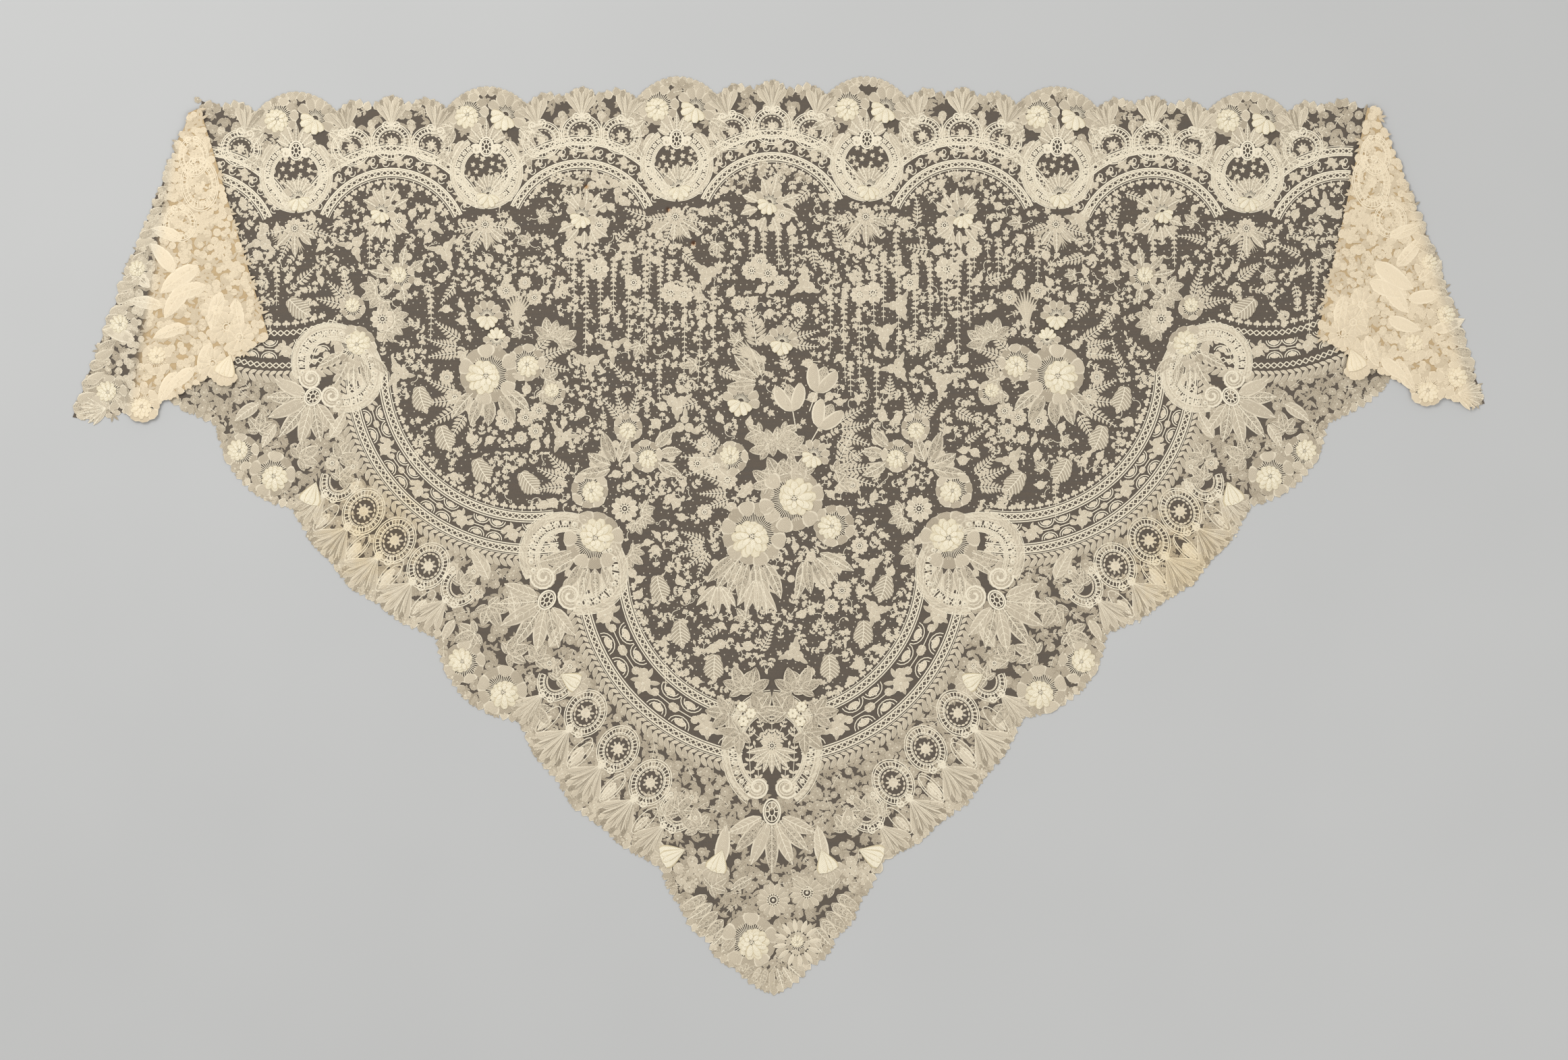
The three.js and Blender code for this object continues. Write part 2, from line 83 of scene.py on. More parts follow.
# Frames stand one repeat apart, with the axis midway between the third and the fourth.
def frameX(i):
    return (i - 2.5) * shawl["repeat"]


# Arches stand one repeat apart, with the fourth on the axis.
def rowX(i):
    return (i - 3) * shawl["repeat"]


topEdge = {"valley": 29, "bumpWidth": 118, "bumpRise": 34, "shellRise": 17, "toothRise": 11}
lowerRuns = np.array([  # width, valley, rise, teeth, from the point upwards
    (253, 20, 26, 4), (298, 27, 29, 3), (174, 30, 35, 0), (287, 17, 28, 3), (165, 26, 31, 0), (240, 24, 24, 2)])
ends = {
    "left": {"side": -1, "apex": (-853, -24), "hidden": (-926, -443), "open": (-746, -381),
             "tip": (-1036, -502), "heel": (-899, -469), "bow": 4, "belly": 27, "inset": 0},
    "right": {"side": 1, "apex": (887, -23), "hidden": (996, -389), "open": (809, -380),
              "tip": (1056, -482), "heel": (939, -444), "bow": 9, "belly": 15, "inset": 12},
}


# Top edge: half sine bumps take turns with a flat-topped swell that carries three teeth.
def topLine(x):
    along = np.mod(x - frameX(-1) + topEdge["bumpWidth"] / 2, shawl["repeat"])
    share = np.clip((along - topEdge["bumpWidth"]) / (shawl["repeat"] - topEdge["bumpWidth"]), 0, 1)
    bump = topEdge["bumpRise"] * np.sin(np.pi * np.clip(along / topEdge["bumpWidth"], 0, 1)) ** 0.7
    shells = topEdge["shellRise"] * np.abs(np.sin(np.pi * share)) ** 0.4 + topEdge["toothRise"] * toothed(share, 3)
    return np.where(along < topEdge["bumpWidth"], bump, shells) - topEdge["valley"] - crown(x)


# Lower edge: a straight line from the point to the heel, pushed out by one half sine swell for each run.
def lowerLine(end, d):
    start, run = np.array([2, -shawl["depth"]]), np.array(end["heel"]) - (2, -shawl["depth"])
    way = run / np.hypot(*run)
    out = np.array([way[1], -way[0]]) * end["side"]
    stops = np.concatenate([[0], np.cumsum(lowerRuns[:, 0])])
    i = np.clip(np.searchsorted(stops, d, side="right") - 1, 0, len(lowerRuns) - 1)
    share = (d - stops[i]) / lowerRuns[i, 0]
    valley = np.concatenate([[0], lowerRuns[:, 1]])
    base = valley[i] + (valley[i + 1] - valley[i]) * share + end["inset"] * smooth(d / 200)
    bow = np.abs(np.sin(np.pi * np.clip(share, 0, 1)))
    notch = np.where(lowerRuns[i, 3] > 0, 8 * (toothed(share, lowerRuns[i, 3]) - 0.5) * bow, 0)
    push = lowerRuns[i, 2] * bow ** 0.75 - base + notch
    return start + d[:, None] * way + push[:, None] * out, out


# Length of a lower edge: the distance from the point to the hidden fold, less 6 mm.
def lowerLength(end):
    return math.dist(end["hidden"], (2, -shawl["depth"])) - 6


topX = np.arange(ends["left"]["apex"][0] + 4, ends["right"]["apex"][0] - 4, 2.0)
lowerRight = lowerLine(ends["right"], np.arange(0, lowerLength(ends["right"]), 2.5))[0]
lowerLeft = lowerLine(ends["left"], np.arange(0, lowerLength(ends["left"]), 2.5))[0]
outline = np.concatenate([np.column_stack([topX, topLine(topX)]), [ends["right"]["apex"], ends["right"]["hidden"]],
                          lowerRight[::-1], lowerLeft[1:], [ends["left"]["hidden"], ends["left"]["apex"]]])
print("outline points", len(outline))

# Patches, cords and dots: every motif is a list of these three, laid down on one ground.
lace = {}
work = {"into": None, "twin": 1, "thick": "roses"}


# The motifs that follow go into the named piece; twin 1 also lays them mirrored about the axis.
def onto(name, twin=1):
    work["into"] = lace.setdefault(name, {"leaf": [], "cord": [], "dot": []})
    work["twin"] = twin


# One leaf patch: root, way, length, width, turn in degrees, the powers of its width, lift, tone and openness.
def leaf(x, y, aim, length, width, bend=0, fore=0.8, aft=0.8, lift=0, tone=0.5, gaps=0):
    work["into"]["leaf"].append((x, y, aim, length, width, bend, fore, aft, lift + 0.35 * rng.random(),
                                 tone + rng.uniform(-0.1, 0.1), gaps, work["twin"]))


# One cord: its path, half width, lift and tone.
def cord(points, half=0.6, lift=0.35, tone=0.85):
    work["into"]["cord"].append((np.asarray(points, float), half, lift, tone, work["twin"]))


# One dot: middle, radius, lift and tone.
def dot(x, y, r, lift=0.2, tone=0.85):
    work["into"]["dot"].append((x, y, r, lift, tone, work["twin"]))


# Point that lies far along the way aim and aside to its left: a turn of (far, aside) added to (x, y).
def step(x, y, aim, far, aside=0):
    c, s = math.cos(math.radians(aim)), math.sin(math.radians(aim))
    return x + far * c - aside * s, y + far * s + aside * c


# Ellipse: radii times cosine and sine of evenly spaced angles, turned about its middle.
def arcPath(x, y, rx, ry, a0, a1, count, turn=0):
    a = np.radians(np.linspace(a0, a1, count))
    c, s = math.cos(math.radians(turn)), math.sin(math.radians(turn))
    u, v = rx * np.cos(a), ry * np.sin(a)
    return np.column_stack([x + u * c - v * s, y + u * s + v * c])


# Spiral: radius shrinks evenly with the angle.
def coilPath(x, y, r, a0, turns, count, keep=0.12):
    a = np.radians(a0) + np.linspace(0, 2 * np.pi * turns, count)
    reach = r * np.linspace(1, keep, count)
    return np.column_stack([x + reach * np.cos(a), y + reach * np.sin(a)])


# Stem: even turn along its length, as a leaf's middle line.
def stemPath(x, y, aim, length, bend, count=6):
    t = np.linspace(0, 1, count)
    turn = np.radians(bend) * t
    head = np.radians(aim - bend / 2) + turn / 2
    far = length * t * np.sinc(turn / (2 * np.pi))
    return np.column_stack([x + far * np.cos(head), y + far * np.sin(head)])


claimed = []


# Circle that the fillings keep clear of, and its mirror image.
def claim(x, y, r):
    claimed.append((x, y, r))
    if work["twin"]:
        claimed.append((-x, y, r))


# Small motifs.


# Floret: even round of petals as wide as the chord between them, with a dot in the middle.
def floret(x, y, r, petals=5, tone=0.65):
    turn = rng.uniform(0, 360)
    for k in range(petals):
        aim = turn + 360 * k / petals
        leaf(*step(x, y, aim, 0.1 * r), aim, 0.92 * r, 2.1 * r * math.sin(math.pi / petals), 0, 0.8, 0.32, 0.1, tone)
    dot(x, y, 0.2 * r, 0.75, 1)


# Daisy: even round of narrow petals, a dot at the root of each and a ring of cord round the middle.
def daisy(x, y, r, petals=13, tone=0.5):
    claim(x, y, r)
    for k in range(petals):
        aim = 360 * k / petals
        leaf(*step(x, y, aim, 0.24 * r), aim, 0.78 * r, 5.2 * r / petals, 0, 0.9, 0.4, 0.2, tone)
        dot(*step(x, y, aim, 0.36 * r), 0.05 * r, 0.8, 1)
    cord(arcPath(x, y, 0.24 * r, 0.24 * r, 0, 360, 13), 0.8, 0.8, 1)
    dot(x, y, 0.1 * r, 0.9, 1)


# Ivy: five leaves from one root at set angles, shorter towards the back.
def ivy(x, y, aim, size, tone=0.6, gaps=0):
    for turn, share in ((0, 1), (52, 0.78), (-52, 0.78), (108, 0.5), (-108, 0.5)):
        leaf(x, y, aim + turn, size * share, 0.5 * size * share, 0, 0.6, 0.8, 0.1, tone, gaps)


# Tendril: a stem turned by a right angle that ends in a little over one coil.
def tendril(x, y, aim, size):
    stem = stemPath(x, y, aim, size, rng.choice([-90, 90]), 5)
    curl = coilPath(*step(*stem[-1], aim, 0.2 * size), 0.22 * size, aim + 180, rng.choice([-1.1, 1.1]), 9)
    cord(np.concatenate([stem, curl]), 0.5, 0.3, 0.75)


# Sprig: leaf pairs 50 degrees off the stem, shrinking evenly towards one end leaf.
def sprig(x, y, aim, length, pairs=3, size=7, bend=30, tone=0.65):
    path = stemPath(x, y, aim, length, bend, 6)
    cord(path, 0.5, 0.3, 0.75)
    for k in range(pairs):
        share = (k + 0.6) / (pairs + 0.3)
        spot = path[min(4, int(share * 5))]
        head = aim + bend * (share - 0.5)
        for side in (-1, 1):
            leaf(*spot, head + side * 50, size * (1.1 - 0.4 * share), 0.5 * size * (1.1 - 0.4 * share), -side * 14,
                 0.7, 0.7, 0.1, tone)
    leaf(*path[-1], aim + bend / 2, size, 0.52 * size, 0, 0.7, 0.7, 0.1, tone)


# Clover: three round leaves 75 degrees apart at the end of a stem.
def clover(x, y, aim, size, tone=0.65):
    cord(stemPath(x, y, aim, size, 20, 4), 0.5, 0.3, 0.75)
    for turn in (-75, 0, 75):
        leaf(*step(x, y, aim, size), aim + turn, 0.8 * size, 0.75 * size, 0, 0.8, 0.35, 0.1, tone)


# Fern: leaflet pairs 58 degrees off the stem, their reach falling evenly with the share of its length.
def fern(x, y, aim, length, width, pairs=9, bend=16, tone=0.6):
    pairs = min(pairs, max(4, round(length / 5.5)))
    path = stemPath(x, y, aim, length, bend, 2 * pairs + 1)
    cord(path, 0.6, 0.6, 0.9)
    for k in range(pairs):
        share = (k + 0.7) / pairs
        reach = 0.62 * width * (1.05 - 0.85 * share) * min(1, 0.55 + 2 * share)
        for side in (-1, 1):
            leaf(*path[2 * k + 1], aim + bend * (share - 0.5) + side * 58, reach,
                 min(0.3 * reach + 1, 0.78 * length / pairs), -side * 22, 0.6, 0.7, 0.1, tone)


# Feathered leaf: one patch, a midrib and vein pairs as long as the patch's half width there.
def feather(x, y, aim, length, width, bend=14, tone=0.4, gaps=0, veins=5, fore=0.55, aft=0.75):
    leaf(x, y, aim, length, width, bend, fore, aft, 0.15, tone, gaps)
    path = stemPath(x, y, aim, length, bend, 2 * veins + 2)
    cord(path, 0.65, 0.75, 1)
    for k in range(1, veins + 1):
        share = 2 * k / (2 * veins + 1)
        reach = 0.6 * width * (share ** fore * (1 - share) ** aft) / (0.42 ** fore * 0.58 ** aft)
        for side in (-1, 1):
            cord(stemPath(*path[2 * k - 1], aim + bend * (share - 0.5) + side * 42, reach, -side * 20, 4),
                 0.42, 0.7, 0.9)


# Toothed leaf: pairs of overlapping leaflets down a midrib, longest a third of the way up.
def toothedLeaf(x, y, aim, length, width, bend=16, pairs=7):
    path = stemPath(x, y, aim, length, bend, 2 * pairs + 1)
    cord(path, 0.7, 0.9, 1)
    for k in range(pairs):
        share = (k + 0.3) / pairs
        reach = 0.74 * width * math.sin(math.pi * (0.2 + 0.76 * share))
        for side in (-1, 1):
            turn = aim + bend * (share - 0.5) + side * 52
            leaf(*path[2 * k], turn, reach, 1.5 * length / pairs, -side * 20, 0.4, 0.6, 0.1, 0.2)
            cord(stemPath(*path[2 * k], turn, 0.92 * reach, -side * 20, 4), 0.55, 1.0, 1)
    leaf(*path[-3], aim + 0.5 * bend, 0.3 * length, 0.3 * width, 0, 0.6, 0.8, 0.2, 0.6)


# Vine leaf: five lobes from one root with a vein down each, shorter towards the back.
def vineLeaf(x, y, aim, size, tone=0.5, gaps=1, lift=0.2):
    for turn, share in ((0, 1), (48, 0.86), (-48, 0.86), (100, 0.62), (-100, 0.62)):
        leaf(x, y, aim + turn, size * share, 0.56 * size * share, 0, 0.5, 0.75, lift, tone, gaps)
        cord([(x, y), step(x, y, aim + turn, 0.85 * size * share)], 0.5, lift + 0.6, 0.95)


# Grass: blades fanned evenly over twice the spread, each bent further by its own angle.
def grass(x, y, aim, length, blades=7, spread=46):
    for k in range(blades):
        turn = spread * (2 * k / (blades - 1) - 1)
        leaf(x, y, aim + 0.6 * turn, length * (1 - 0.2 * abs(turn) / spread), 0.065 * length,
             1.1 * turn, 0.35, 0.7, 0.2, 0.7)


# Tulip: two petals that lean out and bend in, before a third that stands straight.
def tulip(x, y, aim, size, tone=0.5):
    cord(stemPath(*step(x, y, aim + 180, 0.7 * size), aim, 0.8 * size, 0, 4), 0.8, 0.4)
    for turn, share, bend in ((24, 1, -34), (-24, 1, 34), (0, 0.92, 0)):
        leaf(x, y, aim + turn, size * share, 0.46 * size, bend, 0.55, 0.55, 0.5 - 0.3 * (turn == 0),
             tone + 0.1 * bool(turn), int(turn == 0))


# Bell: five petals fanned at the mouth, behind three thick ones fanned from the stalk.
def bell(x, y, aim, size):
    for k in range(5):
        turn = 26 * (k - 2)
        leaf(*step(x, y, aim, 0.62 * size), aim + turn * 1.4, 0.5 * size, 0.34 * size, 0, 0.7, 0.3, 0.2, 0.45)
    home, twin = work["into"], work["twin"]
    onto(work["thick"], twin)
    for turn in (-15, 0, 15):
        leaf(x, y, aim + turn, 0.78 * size, 0.4 * size, 0, 1.1, 0.22, 1.2, 1)
    work["into"] = home


# Rose: scalloped outer petals, a ring of bare spokes, then three rounds of thick petals whose length
# grows with the cosine of the angle from the side they lean to.
def rose(x, y, r, aim=0, petals=9):
    claim(x, y, r)
    for k in range(petals):
        turn = aim + 360 * (k + 0.5) / petals
        leaf(*step(x, y, turn, 0.56 * r), turn, (0.46 + 0.05 * (k % 2)) * r, 7 * r / petals, 0, 0.7, 0.4,
             0.1 + 0.35 * (k % 2), 0.2 + 0.3 * (k % 2))
    spokes = int(1.25 * r)
    for k in range(spokes):
        turn = 360 * k / spokes
        cord([step(x, y, turn, 0.36 * r), step(x, y, turn, 0.7 * r)], 0.55, 0.6, 0.7)
    home, twin = work["into"], work["twin"]
    onto(work["thick"], twin)
    cx, cy = step(x, y, aim, 0.1 * r)
    for count, reach, wide, lean, lift, tone in ((11, 0.51, 0.34, 0.26, 0.8, 0.5), (9, 0.4, 0.3, 0.3, 1.3, 0.8),
                                                (7, 0.26, 0.22, 0.2, 1.8, 1)):
        for k in range(count):
            turn = 360 * (k + 0.4 * lift) / count
            long = reach * r * (1 + lean * math.cos(math.radians(turn)))
            leaf(*step(cx, cy, aim + turn, 0.09 * r), aim + turn, long, wide * r, 16, 0.6, 0.32,
                 lift + 0.2 * (k % 2), tone)
    work["into"] = home
    for k in range(3):
        cord(arcPath(*step(cx, cy, 120 * k + aim, 0.055 * r), 0.04 * r, 0.04 * r, 0, 360, 7), 0.02 * r, 1.6, 0.7)


# Poppy from the side: a half ring of petals behind, a half ring of spokes, a thick cup in front.
def poppy(x, y, r, aim=90):
    claim(x, y, r)
    for k in range(6):
        turn = aim + 34 * (k - 2.5)
        leaf(*step(x, y, turn, 0.4 * r), turn, 0.62 * r, 0.5 * r, 0, 0.5, 0.28, 0.2, 0.4)
    for k in range(17):
        turn = aim + 11 * (k - 8)
        cord([step(x, y, turn, 0.16 * r), step(x, y, turn, 0.46 * r)], 0.42, 0.5, 0.8)
    home, twin = work["into"], work["twin"]
    onto(work["thick"], twin)
    for k in range(5):
        turn = aim + 180 + 32 * (k - 2)
        leaf(*step(x, y, turn, 0.02 * r), turn, 0.82 * r * (1 - 0.07 * abs(k - 2)), 0.4 * r, 0, 0.7, 0.3,
             1 + 0.3 * (k % 2), 0.7 + 0.3 * (k % 2))
    work["into"] = home


# Spray: leaves of one kind, evenly spaced in angle with a small random turn, on a circle of radius r.
def leafSpray(x, y, r, count, length, width, a0=0, a1=360, kind="leaf", tone=0.5, gaps=1):
    for k in range(count):
        turn = a0 + (a1 - a0) * (k + 0.5 + rng.uniform(-0.2, 0.2)) / count
        spot = step(x, y, turn, r)
        size = length * rng.uniform(0.85, 1.1)
        if kind == "fern":
            fern(*spot, turn, size, width, 8, rng.uniform(-20, 20))
        elif kind == "vine":
            vineLeaf(*spot, turn, 0.62 * size, tone, gaps)
        else:
            feather(*spot, turn, size, width, rng.uniform(-30, 30), tone - 0.1, gaps, 4)
            leaf(*spot, turn + 26, 0.7 * size, 0.3 * width, 30, 0.6, 0.8, 0, 0.7)
            floret(*step(*spot, turn - 25, 0.55 * size), 5.5, 5, 0.65)
        claim(*step(*spot, turn, 0.5 * size), 0.36 * size)


# Hanging vine: leaf pairs every 8 mm down a slightly turned stem, shrinking evenly towards its end.
def hangingVine(x, y, length):
    bend = rng.uniform(-10, 10)
    count = max(5, round(length / 8))
    path = stemPath(x, y, -90, length, bend, count + 1)
    cord(path, 0.5, 0.3, 0.75)
    for k in range(count):
        size = 8.5 * (1 - 0.5 * k / count)
        if k < 0.4 * count:
            ivy(*path[k], -90 + rng.uniform(-60, 60), size)
        for side in (-1, 1):
            leaf(*path[k], -90 + side * rng.uniform(40, 65), size * 0.85, size * 0.4, -side * 20, 0.7, 0.7, 0.1, 0.7)
    claim(x, y - 0.3 * length, 9)
    claim(x, y - 0.65 * length, 7)


# Bands: rows that follow an arc about (x, y), angles anticlockwise from +X.
band = {"pitch": 9.4, "gauge": 9, "trefoilPitch": 14, "garlandPitch": 10}


# Beading: two pairs of edge arcs with crossed threads and a dot in each cell between them.
def beading(x, y, r, a0, a1, gauge):
    count = max(2, round(abs(math.radians(a1 - a0)) * r / band["pitch"]))
    turns = np.linspace(a0, a1, count + 1)
    for edge in (-0.5, 0.5):
        cord(arcPath(x, y, r + edge * gauge, r + edge * gauge, a0, a1, count + 1), 1.15, 0.5, 0.8)
        cord(arcPath(x, y, r + edge * (gauge + 6), r + edge * (gauge + 6), a0, a1, count + 1), 0.55, 0.45, 0.9)
    for b0, b1 in zip(turns[:-1], turns[1:]):
        for near, far in ((b0, b1), (b1, b0)):
            cord([step(x, y, near, r - 0.45 * gauge), step(x, y, far, r + 0.45 * gauge)], 0.85, 0.4, 0.75)
        dot(*step(x, y, 0.5 * (b0 + b1), r), 1.3, 0.7, 0.95)


# Trefoils: stalks at an even pitch along an arc, each with three leaves 78 degrees apart.
def trefoils(x, y, r, a0, a1, size=5.5):
    count = max(2, round(abs(math.radians(a1 - a0)) * r / band["trefoilPitch"]))
    for turn in np.linspace(a0, a1, count + 1)[:-1] + 0.5 * (a1 - a0) / count:
        root = step(x, y, turn, r)
        cord([root, step(x, y, turn, r - 5)], 0.8, 0.3)
        spot = step(x, y, turn, r - 4.5)
        for aside in (-78, 0, 78):
            leaf(*spot, turn + 180 + aside, size, 0.8 * size, 0, 0.8, 0.35, 0.1, 0.75)


# Garland: a long and a short leaf at each even stop along an arc, leaning along it.
def garland(x, y, r, a0, a1, size, away=1):
    count = max(2, round(abs(math.radians(a1 - a0)) * r / band["garlandPitch"]))
    for turn in np.linspace(a0, a1, count + 1):
        spot = step(x, y, turn, r)
        leaf(*spot, turn + 90 - 44 * away, size, 0.42 * size, 24 * away, 0.6, 0.7, 0.15, 0.45)
        leaf(*spot, turn + 90 + 24 * away, 0.66 * size, 0.3 * size, 0, 0.6, 0.7, 0.15, 0.65)


# Strip: even boxes between two arcs, where every third holds florets and the rest arches or coils.
def strip(x, y, inner, outer, a0, a1, boxes):
    mid, deep = 0.5 * (inner + outer), outer - inner
    count = max(2, round(abs(math.radians(a1 - a0)) * mid / (0.78 * deep)))
    turns = np.linspace(a0, a1, count + 1)[:-1] + 0.5 * (a1 - a0) / count
    for k, turn in enumerate(turns):
        spot = step(x, y, turn, mid)
        if k % 3 == 1:
            floret(*step(*spot, turn, 0.1 * deep), 0.26 * deep, 6, 0.65)
            floret(*step(*spot, turn + 60, -0.26 * deep), 0.17 * deep, 5, 0.65)
            for way in (20, 75, 130, 200, 250, 310):
                leaf(*step(*spot, turn + way, 0.12 * deep), turn + way, 0.36 * deep, 0.15 * deep,
                     24, 0.6, 0.7, 0, 0.5)
        elif boxes:
            for side in (-1, 1):
                base = step(*spot, turn, side * 0.42 * deep)
                for scale in (1, 0.7):
                    arch = arcPath(0, 0, 0.36 * deep * scale, 0.3 * deep * scale, 0, 180, 9)
                    c, w = math.cos(math.radians(turn)), math.sin(math.radians(turn))
                    cord(np.column_stack([base[0] - side * arch[:, 1] * c - arch[:, 0] * w,
                                          base[1] - side * arch[:, 1] * w + arch[:, 0] * c]), 0.75, 0.5, 0.85)
                for aside in (-50, 0, 50):
                    leaf(*base, turn + (180 if side > 0 else 0) + aside, 0.26 * deep, 0.14 * deep, 0,
                         0.8, 0.5, 0.1, 0.8)
                floret(*step(*spot, turn + 90, side * 0.36 * deep), 0.13 * deep, 5, 0.6)
            cord([step(*spot, turn + 90, -0.38 * deep), step(*spot, turn + 90, 0.38 * deep)], 0.7, 0.5, 0.85)
        else:
            for side in (-1, 1):
                cord(coilPath(*step(*spot, turn, side * 0.16 * deep), 0.26 * deep, turn + 90 * side, 1.1 * side, 11),
                     0.7, 0.5)
                leaf(*step(*spot, turn, side * 0.2 * deep), turn + 90 + 40 * side, 0.5 * deep,
                     0.24 * deep, 30, 0.6, 0.7, 0.1, 0.6)
    for r in (inner, outer):
        cord(arcPath(x, y, r, r, a0, a1, 2 * count + 2), 0.6, 0.5, 0.9)


# Frames: horseshoe rings about (x, y); aim is the way their oval and palmette point.
# Each half is an ellipse arc at several scales, with rungs between, leaves along its rim and a coil at its head.
def scrollFrame(x, y, across, along, aim, ovalAway, reach, spread, leaves, oval, coil=0.24):
    claim(x, y, 0.97 * min(across, along))
    claim(*step(x, y, aim, ovalAway + 0.4 * reach), 0.55 * reach)
    for side in (-1, 1):
        def ring(scale, a0, a1, count):
            a = np.radians(np.linspace(a0, a1, count)) * side
            u, v = scale * along * np.cos(a), scale * across * np.sin(a)
            c, s = math.cos(math.radians(aim)), math.sin(math.radians(aim))
            return np.column_stack([x + u * c - v * s, y + u * s + v * c])
        cord(ring(0.93, 30, 179, 26), 0.055 * across, 0.2, 0.5)
        cord(ring(0.66, 36, 168, 24), 0.03 * across, 0.3, 0.55)
        for scale in (1.0, 0.87, 0.7, 0.62):
            cord(ring(scale, 30, 178, 26), 0.6, 0.7, 0.95)
        inner, outer = ring(0.71, 34, 172, 34), ring(0.86, 34, 172, 34)
        for k in range(34):
            cord([inner[k], outer[k]], 0.7, 0.5, 0.8)
            if k % 3 == 1:
                dot(*(0.5 * (inner[k] + outer[k])), 0.055 * across, 0.5, 0.95)
        rim = ring(0.97, 34, 176, 20)
        for k in range(19):
            way = math.degrees(math.atan2(*(rim[k] - rim[k + 1])[::-1]))
            leaf(*rim[k + 1], way - 32 * side, 0.21 * across, 0.11 * across, 20 * side, 0.6, 0.7, 0.2, 0.55)
        head = ring(0.66, 25, 26, 2)[0]
        for k in range(8):
            leaf(*head, 45 * k, 0.9 * coil * across, 0.8 * coil * across, 0, 0.5, 0.3, 0, 0.4)
        for r, half in ((coil, 1.6), (0.7 * coil, 0.7)):
            cord(coilPath(*head, r * across, aim + 62 * side, -1.6 * side, 22), half, 0.9, 0.9)
    mid = step(x, y, aim, ovalAway)
    wide, tall = oval
    for scale, half in ((1.25, 1.3), (0.98, 0.8), (0.4, 0.8)):
        cord(arcPath(*mid, scale * tall, scale * wide, 0, 360, 25, aim), half, 1.2, 1)
    for k in range(8):
        a = math.radians(45 * k)
        tip = np.array(step(*mid, aim, tall * math.cos(a), wide * math.sin(a)))
        cord([0.6 * np.array(mid) + 0.4 * tip, tip], 0.8, 1, 1)
    for k in range(leaves):
        turn = spread * (2 * k / (leaves - 1) - 1)
        size = reach * (1 - 0.2 * abs(turn) / spread) - 1.1 * tall
        root = step(*mid, aim + turn, 1.15 * tall)
        feather(*root, aim + turn * 1.05, size, 1.5 * reach * math.radians(spread) / leaves,
                0.2 * turn, 0.45, k % 2, 6)


# Ladder ring: ellipse arcs at four scales with radial rungs between two of them.
def ladderRing(x, y, rx, ry, turn, a0=0, a1=360):
    count = max(9, int(0.056 * (rx + ry) * abs(a1 - a0) / 36))
    inner, outer = arcPath(x, y, 0.74 * rx, 0.74 * ry, a0, a1, count, turn), arcPath(x, y, rx, ry,
            a0, a1, count, turn)
    for scale, half in ((1.1, 0.8), (1.0, 0.8), (0.77, 0.8), (0.7, 0.5)):
        cord(arcPath(x, y, scale * rx, scale * ry, a0, a1, count + 1, turn), half, 0.6, 0.9)
    for k in range(count):
        cord([0.96 * (inner[k] - (x, y)) + (x, y), 0.98 * (outer[k] - (x, y)) + (x, y)], 0.75, 0.5, 0.85)


# Medallion: a ladder ring, a round of leaves at 0.58 of its radius, and two coils at its head.
def medallion(x, y, rx, ry, aim, a0=0, a1=360):
    claim(x, y, max(rx, ry))
    ladderRing(x, y, rx, ry, aim, a0, a1)
    for spot, way in zip(arcPath(x, y, 0.58 * rx, 0.58 * ry, a0, a1, 17, aim), np.linspace(a0, a1, 17)):
        leaf(*spot, aim + way + 100, 0.19 * rx, 0.09 * rx, 20, 0.6, 0.6, 0.1, 0.8)
    if a1 - a0 > 300:
        floret(x, y, 0.22 * rx, 6, 0.85)
        for k in range(9):
            leaf(*step(x, y, aim + 40 * k, 0.18 * rx), aim + 40 * k, rng.uniform(0.14, 0.24) * rx, 0.1 * rx,
                 0, 0.7, 0.5, 0, 0.7)
    for side in (-1, 1):
        cord(coilPath(*step(x, y, aim, 0.98 * rx, side * 0.26 * ry), 0.26 * ry, aim + 180, -1.4 * side, 15),
             1.1, 0.9, 0.95)


# Lattice: two sets of five parallel cords that cross at a right angle.
def lattice(x, y, aim, size):
    for k in range(-2, 3):
        cord([step(x, y, aim + 45, -size, 0.4 * size * k), step(x, y, aim + 45, size, 0.4 * size * k)],
             0.5, 0.6, 0.95)
        cord([step(x, y, aim - 45, -size, 0.4 * size * k), step(x, y, aim - 45, size, 0.4 * size * k)],
             0.5, 0.6, 0.95)


# Shell: long petals that widen outwards, the middle one longest, with beaded lines between.
def shell(x, y, aim, length, petals=7, spread=40):
    for k in range(petals):
        share = 2 * k / (petals - 1) - 1
        turn = spread * share
        size = length * (1 - 0.16 * share * share)
        leaf(x, y, aim + 0.75 * turn, size, 2.3 * length * math.radians(spread) / petals,
             0.6 * turn, 1.25, 0.45, 0.25, 0.6 - 0.5 * (k % 2), k % 2)
        if k:
            cord(stemPath(x, y, aim + 0.75 * (turn - spread / (petals - 1)), 0.9 * size, 0.5 * turn, 5),
                 0.55, 0.8, 0.95)


# Regions that the small filling keeps to.


# Inside a polygon: a ray to the right crosses its sides an odd number of times.
def inside(poly, p):
    a, b = poly, np.roll(poly, -1, 0)
    x, y = p[:, 0][:, None], p[:, 1][:, None]
    span = (a[:, 1] > y) != (b[:, 1] > y)
    rise = np.where(b[:, 1] == a[:, 1], 1e-9, b[:, 1] - a[:, 1])
    return (span & (x < (b[:, 0] - a[:, 0]) * (y - a[:, 1]) / rise + a[:, 0])).sum(1) % 2 == 1


lobes = {  # x, y, inner, outer, from, to, inner beading, outer beading
    "end": (-732, -178, 190, 252, 205, 296, 197, 245),
    "lobe": (-357, -429, 211, 275, 181, 279, 218, 267),
    "tip": (0, -722, 214, 292, 183, 261, 221, 284),
}
archInner, archOuter = 102, 150


# Middle of an arch: one outer radius and 72 mm below the sagging top edge.
def archCentre(i):
    return rowX(i), -(72 + crown(rowX(i)) + archOuter)


